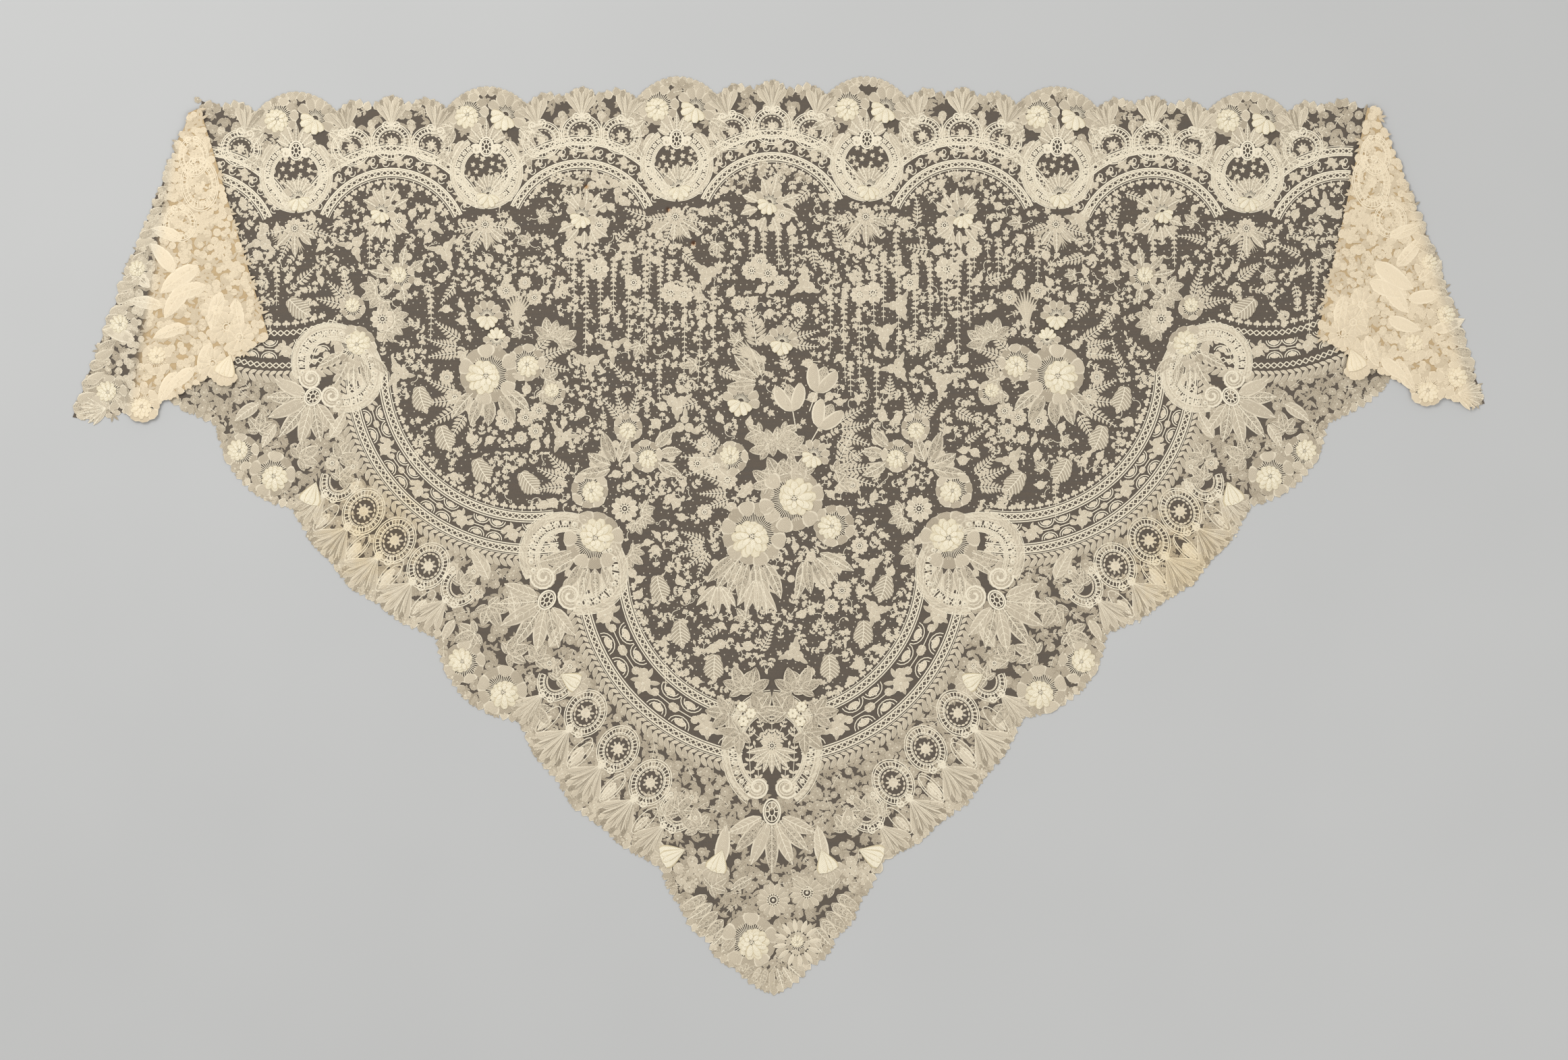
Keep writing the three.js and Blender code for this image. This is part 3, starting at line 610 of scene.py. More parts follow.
# Ring sector: distance between two radii and angle between two bounds.
def ringZone(p, x, y, inner, outer, a0, a1):
    far = np.hypot(p[:, 0] - x, p[:, 1] - y)
    turn = np.mod(np.degrees(np.arctan2(p[:, 1] - y, p[:, 0] - x)), 360)
    return (far > inner) & (far < outer) & (turn > a0) & (turn < a1)


fieldCorner = np.concatenate([
    [(-960, -150)], arcPath(*lobes["end"][:2], 190, 190, 205, 296, 24), [(-660, -400), (-600, -420)],
    arcPath(*lobes["lobe"][:2], 211, 211, 181, 279, 24), [(-318, -690), (-250, -720)],
    arcPath(*lobes["tip"][:2], 214, 214, 183, 270, 24), [(0, -150)]])


# Points in any lobe band or arch band, each grown by a margin.
def inBands(p, grow=4):
    hit = np.zeros(len(p), bool)
    for x, y, inner, outer, a0, a1, _, _ in lobes.values():
        hit |= ringZone(p, x, y, inner - grow, outer + 4 * grow, a0, a1)
    for i in range(4):
        hit |= ringZone(p, *archCentre(i), archInner - grow, archOuter + grow, 20, 160)
    return hit


# Points on the middle's side of the line through each visible fold.
def beforeFold(p):
    left = (p[:, 0] + 853) * -357 - (p[:, 1] + 24) * 107
    right = (887 - p[:, 0]) * -357 - (p[:, 1] + 23) * 78
    return np.where(p[:, 0] < 0, left, right) < 0


# Mirror to the left: minus the distance from the axis.
def leftHalf(p):
    return np.column_stack([-np.abs(p[:, 0]), p[:, 1]])


# Field: the corner polygon and the inside of each arch, without the bands and the flaps.
def inField(p):
    q = leftHalf(p)
    hit = inside(fieldCorner, q)
    for i in range(4):
        x, y = archCentre(i)
        hit |= (np.hypot(q[:, 0] - x, q[:, 1] - y) < archInner) & (q[:, 1] > y - 1)
    return hit & ~inBands(q, 9) & beforeFold(p)


# Border: the outline without the field, the bands and the flaps.
def inBorder(p):
    q = leftHalf(p)
    return inside(outline[::2], p) & ~inside(fieldCorner, q) & ~inBands(q) & (beforeFold(p) | (p[:, 1] < -420))


# Filling: a staggered grid with random shifts, kept where it is in the zone and clear of every claim.
def fillSpots(zone, pitch, margin, jitter=0.36):
    gx, gy = np.meshgrid(np.arange(-1000, 1000, pitch), np.arange(-1352, 0, pitch))
    gx = gx + 0.5 * pitch * (np.arange(gx.shape[0])[:, None] % 2)
    p = np.column_stack([gx.ravel(), gy.ravel()]) + rng.uniform(-jitter, jitter, (gx.size, 2)) * pitch
    p = p[zone(p)]
    c = np.array(claimed)
    far = np.hypot(p[:, None, 0] - c[None, :, 0], p[:, None, 1] - c[None, :, 1])
    return p[(far > c[None, :, 2] + margin).all(1)]


# Bands of the field.
archBand = {"rows": (108, 144), "gauge": 8, "strip": (114, 138), "trefoils": 101, "garland": 154, "leaf": 9}
lobeBand = {"gauge": 9, "clear": 8, "trefoil": 6, "leaf": 18}
onto("bands", 0)
for i in range(7):
    x, y = archCentre(i)
    a0, a1 = (24 if i < 6 else 84), (156 if i > 0 else 88)
    for r in archBand["rows"]:
        beading(x, y, r, a0, a1, archBand["gauge"])
    strip(x, y, *archBand["strip"], a0, a1, False)
    trefoils(x, y, archBand["trefoils"], a0 + 4, a1 - 4)
    garland(x, y, archBand["garland"], a0 + 14, a1 - 14, archBand["leaf"])
onto("bands", 1)
for x, y, inner, outer, a0, a1, near, far in lobes.values():
    for r in (near, far):
        beading(x, y, r, a0, a1, lobeBand["gauge"])
    strip(x, y, near + lobeBand["clear"], far - lobeBand["clear"], a0, a1, True)
    trefoils(x, y, inner - 1, a0 + 3, a1 - 3, lobeBand["trefoil"])
    garland(x, y, outer + 6, a0, a1, lobeBand["leaf"])
print("bands laid")

# Frames: across, along, aim, oval's distance, reach and spread of the palmette, its leaves, and the oval's radii.
frames = {"top": (54, 55, 90, 37, 40, 60, 7, (8, 11), 0.15), "topDrop": 122,
          "side": ((-644, -426, 72, 62, 230, 56, 78, 72, 7, (9, 11)),
                   (-294, -716, 86, 70, 234, 67, 84, 72, 7, (9, 12))),
          "point": (0, -994, 74, 90, 270, 90, 90, 62, 7, (10, 15))}
onto("frames", 0)
for i in range(6):
    x = frameX(i)
    y = -(frames["topDrop"] + 0.75 * crown(x))
    scrollFrame(x, y, *frames["top"])
    poppy(x + 3, y - 34, 25, 90 + 12 * (-1) ** i)
    leafSpray(x + 3, y - 30, 8, 7, 22, 9, 30, 150, "leaf", 0.5, 1)
    for k in range(17):
        turn = 137.5 * k
        ivy(*step(x, y + 2, turn, 6.4 * math.sqrt(k + 0.5)), turn + rng.uniform(-40, 40), rng.uniform(5.5, 7.5), 0.8)
    daisy(x - 2, y - 78, 15, 11, 0.6)
    for k in range(9):
        turn = 190 + 20 * k + rng.uniform(-8, 8)
        spot = step(x - 2, y - 78, turn, 12)
        if k in (0, 3, 8):
            fern(*spot, turn, rng.uniform(34, 46), 20, 9, rng.uniform(-30, 30))
        elif k in (1, 5):
            grass(*spot, turn, 30, 4, 24)
        else:
            feather(*spot, turn, rng.uniform(22, 32), 11, rng.uniform(-30, 30), 0.4, k % 2, 4)
    claim(x, y - 92, 24)
onto("frames", 1)
for values in frames["side"]:
    scrollFrame(*values)
for x, y, _, _, aim, *_ in frames["side"]:
    for side in (-1, 1):
        root = step(x, y, aim, 18, 34 * side)
        sprig(*root, aim + 180 - 14 * side, 56, 5, 10, 34 * side, 0.75)
        sprig(*step(*root, aim, 10, -18 * side), aim + 180, 34, 4, 8, 20 * side, 0.75)
onto("frames", 0)
scrollFrame(*frames["point"])
for side in (-1, 1):
    sprig(30 * side, -1046, 90 - 2 * side, 92, 8, 9, 8 * side, 0.85)
    sprig(19 * side, -1046, 90 - 6 * side, 60, 6, 8, -10 * side, 0.85)
    for k, (x, y) in enumerate(((44, -902), (64, -940), (20, -938), (48, -968), (30, -905))):
        turn = (70, 10, 120, -40, 100)[k]
        vineLeaf(side * x, y, turn if side > 0 else 180 - turn, 36, 0.4, 1, 1.6)
for k in range(9):
    feather(*step(0, -990, 190 + 20 * k, 8), 190 + 20 * k, 30, 9, 0, 0.5, k % 2, 4)
onto("roses", 1)
for x, y in ((-44, -928), (-31, -938), (-42, -950)):
    for k in range(6):
        leaf(*step(x, y, 60 * k, 0.8), 60 * k, 7, 7, 0, 0.6, 0.3, 2.4, 1)
onto("frames", 0)
daisy(0, -986, 16, 11, 0.65)
for turn in (40, 64, 90, 116, 140):
    sprig(*step(0, -986, turn, 14), turn, 30, 4, 8, 90 - turn, 0.75)
claim(0, -940, 75)
print("frames laid")

# Top border: rose pairs over the frames, beaded medallions under the shells.
onto("topBorder", 0)
for i in range(6):
    x = frameX(i)
    y = -(34 + 0.75 * crown(x))
    rose(x - 27, y - 1, 29, 250, 11)
    poppy(x + 28, y - 4, 30, 55)
    for side in (-1, 1):
        leafSpray(x + 46 * side, y - 22, 4, 3, 34, 15, 270 + 70 * side - 46, 270 + 70 * side + 46, "leaf", 0.5, 1)
        floret(x + 16 * side, y - 34, 9, 5, 0.6)
        vineLeaf(x + 58 * side, y - 62, 270 + 20 * side, 22, 0.5, 1)
        feather(x + 34 * side, y - 42, 270 + 30 * side, 30, 13, 10, 0.55, 0, 4)
    for k in range(17):
        turn = 10 + 10 * k
        spot = step(x, y - 14, turn, 30)
        edge = (x + 58 * math.cos(math.radians(turn)),
                float(topLine(np.array([x + 56 * math.cos(math.radians(turn))]))[0]))
        leaf(*(0.78 * np.array(edge) + 0.22 * np.array(spot)), turn, 11, 11, 0, 0.6, 0.3, 0.1, 0.4)
for i in range(7):
    for k in (-1, 0, 1):
        x = rowX(i) + 59 * k
        if -822 < x < 846:
            y = -(68 + crown(x) + 7 * abs(k))
            aim = 90 - 16 * k
            medallion(x, y, 25, 27, aim)
            root = step(x, y, aim, 22)
            tall = float(topLine(np.array([rowX(i) + 54.7 * k]))[0]) - root[1]
            shell(*root, aim, tall + 2, 7, 44)
            lattice(*step(x, y, aim, 23), aim, 4)
            for side in (-1, 1):
                floret(x + 29 * side, y + 27, 6, 5, 0.6)
                sprig(x + 29 * side, y - 14, 90, 30, 3, 9, 0, 0.7)
print("top border laid")

# Side borders and the corner at the point (left half, the right one is its twin).
sideWork = {
    "roses": ((-787, -551, 26, 150), (-740, -584, 32, 300), (-456, -863, 30, 150), (-400, -904, 35, 300)),
    "medallions": ((-605, -639), (-559, -682), (-509, -720), (-276, -938), (-228, -991), (-180, -1041)),
    "halfMedallions": ((-640, -592, -80, 120), (-461, -748, -120, 80), (-318, -888, -80, 120),
                       (-138, -1082, -120, 90)),
    "bells": ((-675, -595, 250, 46), (-314, -880, 330, 42), (-128, -1140, 200, 50), (-73, -1140, 250, 46)),
    "vineLeaves": ((-700, -560, 30, 34), (-760, -520, 80, 30), (-690, -625, 250, 34), (-640, -560, 60, 30),
                   (-420, -780, 300, 36), (-440, -820, 200, 34), (-390, -850, 20, 34), (-350, -930, 260, 36),
                   (-350, -860, 60, 30), (-110, -1110, 100, 34), (-160, -1090, 60, 30)),
    "feathers": ((-760, -480, 215, 44), (-735, -510, 240, 40), (-655, -530, 60, 44), (-420, -740, 120, 52),
                 (-380, -800, 100, 46), (-330, -840, 60, 44), (-370, -950, 235, 40), (-470, -800, 240, 36)),
    "cornerFlorets": ((122, -1196), (134, -1184), (112, -1184), (124, -1172), (138, -1168), (108, -1170),
                      (118, -1158)),
}
onto("sideBorder", 1)
edgeWay = 225.5
for x, y, r, aim in sideWork["roses"]:
    rose(x, y, r, aim)
for x, y in sideWork["medallions"]:
    medallion(x, y, 33, 27, edgeWay + 12)
    root = step(x, y, edgeWay, 32)
    lattice(*root, edgeWay, 5)
    shell(*root, edgeWay, 66, 9, 46)
    for side in (-1, 1):
        spot = step(x, y, edgeWay, 46, 33 * side)
        feather(*step(*spot, edgeWay, -8), edgeWay, 30, 12, 0, 0.8, 0, 4)
        cord(arcPath(*spot, 26, 9, 0, 360, 21, edgeWay), 0.7, 0.6, 0.95)
        floret(*step(*spot, edgeWay, 38), 8, 5, 0.6)
        floret(*step(*spot, edgeWay, 26, 9 * side), 6, 5, 0.6)
for x, y, a0, a1 in sideWork["halfMedallions"]:
    medallion(x, y, 31, 25, edgeWay + 12, a0, a1)
    shell(*step(x, y, edgeWay, 28), edgeWay, 60, 7, 34)
    vineLeaf(x, y, edgeWay + 180, 28, 0.45, 1)
    for turn in (110, 180, 250):
        daisy(*step(x, y, edgeWay + turn, 27), 11, 8, 0.6)
for x, y, aim, size in sideWork["bells"]:
    bell(x, y, aim, size)
    claim(*step(x, y, aim, 0.5 * size), 0.5 * size)
for x, y, aim, size in sideWork["vineLeaves"]:
    vineLeaf(x, y, aim, size)
    claim(x, y, 0.7 * size)
for x, y, aim, size in sideWork["feathers"]:
    feather(x, y, aim, size, 0.42 * size, 18, 0.5, 0, 6)
    claim(*step(x, y, aim, 0.5 * size), 0.38 * size)
onto("corner", 0)
rose(-33, -1275, 39, 320, 10)
rose(38, -1279, 16, 100, 8)
for k in range(12):
    leaf(*step(38, -1279, 30 * k + 8, 15), 30 * k + 8, 22, 7, 0, 0.7, 0.7, 1.0, 0.95)
    leaf(*step(38, -1279, 30 * k + 23, 17), 30 * k + 23, 18, 9, 0, 0.6, 0.4, 0.3, 0.45)
claim(38, -1279, 36)
daisy(2, -1215, 25, 15)
daisy(52, -1204, 25, 15)
for side in (-1, 1):
    for k in range(6):
        root = np.array([side * (96 - 8 * k), -1208 - 12 * k])
        feather(*root, 270 + side * (62 - 5 * k), 46 - 3 * k, 17, 10 * side, 0.45, 1, 5)
        claim(*root, 16)
    for k in range(5):
        feather(side * 8 * k, -1318 + 2 * k, 270 + side * 16 * k, 34 - 3 * k, 10, 0, 0.5, k % 2, 4)
    for x, y in sideWork["cornerFlorets"]:
        floret(side * x, y, 8.5, 5, 0.55)
        claim(x, y, 7)
    feather(78 * side, -1165, 90 + 10 * side, 62, 22, 0, 0.6, 0, 7)
    feather(30 * side, -1182, 270 + 60 * side, 36, 16, 0, 0.5, 1, 4)
    vineLeaf(90 * side, -1195, 90 + 60 * side, 30)
    claim(80 * side, -1130, 18)
print("side borders laid")

# Field bouquets: each row is a motif and its values, laid in this order.
bouquets = {
    "side": ((rose, -420, -436, 42, 210, 11), (rose, -364, -419, 27, 300, 9), (poppy, -422, -350, 24),
             (poppy, -408, -383, 20, 270), (grass, -380, -372, 84, 66, 9, 40), (rose, -324, -463, 18, 120, 7),
             (leafSpray, -420, -436, 36, 5, 46, 20, 215, 330, "leaf", 0.5, 1),
             (leafSpray, -364, -419, 24, 3, 44, 22, -30, 60, "fern"),
             (leafSpray, -350, -450, 16, 3, 34, 16, -70, 40, "vine"),
             (leafSpray, -440, -400, 26, 3, 46, 22, 130, 200, "fern")),
    "sideDaisies": ((-394, -312, 13), (-352, -322, 12), (-366, -300, 10), (-395, -505, 15), (-365, -500, 13),
                    (-350, -520, 12), (-345, -490, 13), (-372, -530, 10), (-470, -470, 12), (-482, -440, 11)),
    "low": ((rose, -213, -515, 21, 260, 8), (rose, -186, -557, 23, 300, 8), (rose, -270, -607, 27, 330, 8),
            (daisy, -218, -635, 20, 11, 0.7), (rose, -264, -682, 42, 60, 11),
            (leafSpray, -213, -515, 18, 3, 42, 20, 60, 150, "fern"),
            (leafSpray, -186, -557, 20, 3, 38, 18, -40, 60, "leaf"),
            (leafSpray, -230, -575, 10, 4, 44, 20, 60, 200, "leaf"),
            (leafSpray, -285, -600, 22, 3, 48, 24, 120, 200, "fern"),
            (leafSpray, -210, -640, 18, 3, 36, 18, -80, 30, "vine"),
            (leafSpray, -264, -690, 34, 6, 44, 17, 190, 300, "leaf", 0.5, 1),
            (leafSpray, -230, -690, 24, 2, 36, 18, -50, 0, "vine"), (rose, -617, -394, 30, 50, 9),
            (rose, -550, -291, 20, 140, 8), (rose, -621, -337, 18, 100, 8), (daisy, -577, -354, 18, 10, 0.7),
            (leafSpray, -550, -291, 16, 6, 30, 12, 0, 300, "leaf"),
            (leafSpray, -570, -310, 18, 4, 36, 17, 150, 270, "vine"),
            (leafSpray, -620, -337, 16, 3, 44, 22, 90, 180, "fern"),
            (leafSpray, -577, -354, 18, 4, 34, 16, -80, 20, "vine"),
            (leafSpray, -617, -394, 26, 5, 40, 16, 200, 330, "leaf", 0.5, 1)),
    "vineDaisies": ((-258, -280, 17), (-150, -315, 16), (-130, -318, 14), (-205, -300, 13), (-300, -250, 12)),
    "toothedLeaves": ((-523, -455), (-490, -513), (-438, -562), (-371, -582), (-715, -325), (-170, -735),
                      (-136, -802), (-84, -852)),
    "middle": ((rose, -60, -560, 24, 120, 8), (poppy, 62, -556, 24, 60),
               (leafSpray, 8, -560, 20, 5, 50, 24, 30, 150, "vine", 0.5, 1),
               (leafSpray, -66, -560, 20, 4, 46, 22, 110, 220, "fern"),
               (leafSpray, 92, -580, 16, 4, 50, 22, -30, 80, "fern"), (fern, -23, -395, 100, 66, 40, 11, 14),
               (poppy, 15, -388, 25, 80), (leafSpray, 15, -388, 18, 3, 40, 18, -20, 60, "fern"),
               (grass, -8, -420, 150, 62, 8, 30), (poppy, -46, -476, 28, 75)),
    "tulips": ((31, -490, 100), (66, -462, 70), (70, -515, 60)),
    "middleRoses": ((leafSpray, -10, -450, 14, 4, 50, 18, 100, 200, "leaf"),
                    (leafSpray, 0, -515, 18, 5, 46, 20, 190, 350, "vine"),
                    (leafSpray, 80, -520, 22, 4, 50, 24, -50, 40, "fern"), (rose, 29, -622, 46, 30, 12),
                    (rose, -27, -672, 46, 240, 12), (rose, 92, -660, 30, 200, 9),
                    (leafSpray, 29, -622, 40, 4, 52, 24, 60, 150, "vine"),
                    (leafSpray, 60, -600, 40, 2, 40, 20, -10, 40, "vine"),
                    (leafSpray, -27, -680, 38, 7, 62, 19, 215, 300, "leaf", 0.5, 1),
                    (leafSpray, 50, -690, 24, 5, 52, 18, 250, 340, "leaf", 0.5, 1),
                    (leafSpray, -40, -610, 26, 4, 46, 20, 130, 210, "fern"),
                    (leafSpray, -90, -690, 10, 5, 44, 20, 140, 260, "fern")),
    "middleDaisies": ((-110, -568, 15), (-82, -572, 17), (-66, -592, 15), (-100, -540, 12), (96, -716, 16),
        (76, -742, 14), (104, -756, 14), (130, -690, 13), (120, -600, 12), (88, -780, 12), (-100, -640, 12)),
    "top": ((leafSpray, -23, -735, 8, 5, 48, 15, 230, 310, "leaf", 0.55, 0),
            (leafSpray, -80, -745, 6, 5, 40, 12, 220, 320, "leaf", 0.6, 0), (poppy, -4, -181, 24, 60),
            (daisy, 16, -200, 13, 9, 0.7), (leafSpray, -4, -186, 18, 8, 28, 12, 0, 360, "leaf", 0.6, 0)),
    "topDaisies": ((-30, -282, 15), (-6, -286, 15), (-18, -268, 12), (14, -300, 12), (40, -340, 12),
                   (-50, -330, 11)),
}
onto("field", 1)
for motif, *values in bouquets["side"]:
    motif(*values)
for x, y, r in bouquets["sideDaisies"]:
    daisy(x, y, r, 9, 0.6)
for motif, *values in bouquets["low"]:
    motif(*values)
for x, y, r in ((-573, -195, 22), (-276, -201, 24)):
    poppy(x - 6, y, r, 70)
    daisy(x + 20, y - 14, 0.6 * r, 9, 0.65)
    leafSpray(x, y, 0.7 * r, 5, 24, 9, 20, 160, "leaf", 0.5, 0)
    leafSpray(x, y - 6, 0.7 * r, 5, 26, 10, 190, 340, "leaf", 0.5, 0)
    hangingVine(x - 24, y - 22, 60)
    hangingVine(x + 8, y - 36, 50)
for k in range(11):
    hangingVine(-296 + 21 * k + rng.uniform(-5, 5), -235 - 16 * math.sin(0.8 * k) - 6 * k,
                130 + 40 * math.sin(1.7 * k))
for x, y, r in bouquets["vineDaisies"]:
    daisy(x, y, r, 9, 0.7)
for k, (x, y) in enumerate(bouquets["toothedLeaves"]):
    toothedLeaf(x, y, (286, 290, 300, 310, 320, 285, 275, 268)[k], 36, 26)
    claim(x, y - 18, 19)
leafSpray(-440, -470, 30, 4, 50, 22, 150, 250, "fern")
leafSpray(-330, -400, 20, 4, 46, 20, 20, 110, "vine")
onto("field", 0)
for motif, *values in bouquets["middle"]:
    motif(*values)
for x, y, aim in bouquets["tulips"]:
    tulip(x, y, aim, 44)
    claim(x, y + 20, 20)
for motif, *values in bouquets["middleRoses"]:
    motif(*values)
for x, y, r in bouquets["middleDaisies"]:
    daisy(x, y, r, 10, 0.65)
for motif, *values in bouquets["top"]:
    motif(*values)
for x in (-30, -12, 10, 30):
    hangingVine(x, -215 - 0.3 * abs(x), 62)
for x, y, r in bouquets["topDaisies"]:
    daisy(x, y, r, 9, 0.65)
print("bouquets laid")

# Middle and small filling: pitch and margin to the claims in mm, then jitter as a share of the pitch.
filling = {"sprays": (46, 16, 0.3), "sprigs": (16, 4.5), "dots": (10, -3, 0.2), "border": (11.6, -2),
           "underBorder": (16, -12), "topEnd": -160, "topReach": 800, "topSkipped": 0.45}
onto("field", 0)
for x, y in fillSpots(inField, *filling["sprays"]):
    pick = rng.random()
    aim = rng.uniform(0, 360)
    if pick < 0.34:
        fern(x, y, aim, rng.uniform(30, 44), rng.uniform(16, 24), 9, rng.uniform(-30, 30))
        claim(*step(x, y, aim, 18), 13)
    elif pick < 0.6:
        for k in range(3):
            spot = step(x, y, aim + 120 * k, 8)
            floret(*spot, rng.uniform(6, 9), 5, 0.6)
            leaf(*spot, aim + 120 * k, 18, 7, 20, 0.6, 0.7, 0, 0.5)
        claim(x, y, 15)
    elif pick < 0.8:
        hangingVine(x, y + 26, rng.uniform(50, 76))
    else:
        vineLeaf(x, y, aim, rng.uniform(16, 22), 0.5, 1)
        tendril(x, y, aim + 180, 16)
        claim(x, y, 13)
for x, y in fillSpots(inField, *filling["sprigs"]):
    pick = rng.random()
    aim = rng.uniform(0, 360)
    if pick < 0.3:
        sprig(x, y, aim, rng.uniform(14, 24), 3, rng.uniform(6, 8.5), rng.uniform(-50, 50))
    elif pick < 0.55:
        ivy(x, y, aim, rng.uniform(7, 10))
        clover(x, y, aim + 180, 6)
    elif pick < 0.72:
        floret(x, y, rng.uniform(5, 7.5), 5, 0.65)
        leaf(x, y, aim, 12, 5, 20, 0.7, 0.7, 0, 0.6)
        leaf(x, y, aim + 150, 11, 5, -20, 0.7, 0.7, 0, 0.6)
    elif pick < 0.88:
        clover(x, y, aim, 7)
        clover(x, y, aim + 140, 6)
        clover(x, y, aim + 230, 6)
    else:
        tendril(x, y, aim, 14)
        leaf(x, y, aim + 90, 8, 4, 0, 0.7, 0.7, 0, 0.65)
for x, y in fillSpots(inField, *filling["dots"]):
    dot(x, y, 0.95, 0.1, 0.8)
for x, y in fillSpots(inBorder, *filling["border"]):
    if y > filling["topEnd"] and abs(x) < filling["topReach"] and rng.random() < filling["topSkipped"]:
        continue
    onto("topBorder" if y > filling["topEnd"] else "sideBorder", 0)
    pick = rng.random()
    aim = (edgeWay if x < 0 else 540 - edgeWay) + rng.uniform(-100, 100)
    if pick < 0.34:
        floret(x, y, rng.uniform(5, 7), rng.choice([5, 6]), 0.25)
    elif pick < 0.55:
        ivy(x, y, aim, rng.uniform(10, 14), 0.1)
    elif pick < 0.85:
        for turn in (-44, 0, 44):
            leaf(x, y, aim + turn, rng.uniform(12, 16), 4.6, 0.3 * turn, 0.6, 0.7, 0, 0.1)
    else:
        sprig(x, y, aim, 18, 3, 8, 20, 0.35)
for x, y in fillSpots(lambda p: inBorder(p) & (p[:, 1] < filling["topEnd"]), *filling["underBorder"]):
    onto("sideBorder", 0)
    aim = rng.uniform(0, 360)
    for turn in (-60, 0, 60):
        leaf(x, y, aim + turn, rng.uniform(9, 13), 4, 0.3 * turn, 0.6, 0.7, -0.15, 0.05)
print("filling laid")

# Picots: small petals that edge the whole outline.
picot = {"pitch": 13, "root": -11, "length": 15.9, "width": 14}
gaps = np.hypot(*np.diff(outline, axis=0).T)
far = np.concatenate([[0], np.cumsum(gaps)])
edgeStops = np.arange(4, far[-1] - 4, picot["pitch"])
edgeX, edgeY = np.interp(edgeStops, far, outline[:, 0]), np.interp(edgeStops, far, outline[:, 1])
aheadX, aheadY = np.interp(edgeStops + 3, far, outline[:, 0]), np.interp(edgeStops + 3, far, outline[:, 1])
for x, y, ax, ay in zip(edgeX, edgeY, aheadX, aheadY):
    if -838 < x < 868 and y > -60 or y < -455:
        onto("topBorder" if y > -100 else "sideBorder", 0)
        out = math.degrees(math.atan2(ay - y, ax - x)) + 90
        leaf(*step(x, y, out, picot["root"]), out, picot["length"], picot["width"], 0, 0.5, 0.8, 0.05,
             rng.uniform(0.2, 0.7))
print("picots laid", {k: len(v["leaf"]) for k, v in lace.items()})

# Folded ends: points on a flap by row share u along its folds and share v out from the fold in sight.
flapShape = {"level": 3.6, "clearance": 5, "landing": 27, "wall": 1.5, "foldStart": 0.05, "teeth": 11, "tooth": 5}


# Rows run from the fold towards the tip, as long as their share; bow, belly and teeth push their ends out.
def flapPlace(end, u, v):
    apex, openFoot, tip = (np.array(end[k], float) for k in ("apex", "open", "tip"))
    u, v = np.broadcast_arrays(np.asarray(u, float), np.asarray(v, float))
    origin = apex + (openFoot - apex) * u[..., None]
    reach = (tip - openFoot) * u[..., None]
    length = np.maximum(np.hypot(reach[..., 0], reach[..., 1]), 1e-6)
    way = reach / length[..., None]
    below = np.stack([way[..., 1], -way[..., 0]], -1) * end["side"]
    bite = flapShape["tooth"] * (toothed(u, flapShape["teeth"]) - 0.5) * np.minimum(1, 4 * (1 - u) + 0.2)
    length = length + end["bow"] * np.sin(np.pi * u) + bite
    share = np.clip(v, 0, 1)
    scallop = flapShape["tooth"] * u ** 12 * (toothed(share, 9) - 0.5) * share
    lift = end["belly"] * u ** 3 * np.sin(np.pi * share ** 1.3) + scallop
    return origin + way * (v * length)[..., None] + below * lift[..., None]


# Height of a flap's cloth: level over the hidden layer, then eased down to the floor beyond the hidden fold.
def flapHeight(end, x, y):
    apex, hidden = np.array(end["apex"], float), np.array(end["hidden"], float)
    way = (hidden - apex) / np.hypot(*(hidden - apex))
    beyond = -end["side"] * ((x - apex[0]) * way[1] - (y - apex[1]) * way[0])
    drop = smooth((beyond - flapShape["clearance"]) / flapShape["landing"])
    return shawl["netHeight"] + flapShape["level"] * (1 - drop)


# How doubled the cloth is: one over the hidden layer, none beyond its fold.
def flapWarmth(end, x, y):
    return np.clip((flapHeight(end, x, y) - shawl["netHeight"]) / flapShape["level"] * 1.6 - 0.5, 0, 1)


# One point of a flap, and the way from its fold to its tip in degrees.
def flapSpot(end, u, v):
    spot = flapPlace(end, u, v)
    tip = np.array(end["tip"], float) - end["open"]
    return float(spot[0]), float(spot[1]), math.degrees(math.atan2(tip[1], tip[0]))


flapWork = {
    "roses": ((0.93, 0.86, 25, 150), (0.99, 0.68, 26, 260), (0.72, 0.9, 23, 150), (0.86, 0.62, 22, 90),
              (0.55, 0.9, 20, 120)),
    "medallions": ((0.33, 0.3, 36, 25), (0.22, 0.4, 27, 20), (0.44, 0.55, 24, 22)),
    "feathers": ((0.5, 0.5, 160, 50), (0.6, 0.55, 130, 56), (0.62, 0.35, 215, 70), (0.66, 0.42, 235, 66),
        (0.7, 0.3, 200, 60), (0.75, 0.2, 255, 60), (0.8, 0.12, 280, 54), (0.8, 0.45, 200, 52), (0.7, 0.62, 170, 52),
                 (0.62, 0.75, 140, 46), (0.78, 0.78, 160, 50), (0.93, 0.5, 240, 54), (0.9, 0.3, 250, 50),
                 (0.95, 0.4, 220, 50)),
    "daisies": ((0.8, 0.25), (0.88, 0.2), (0.94, 0.14), (0.97, 0.3)),
}
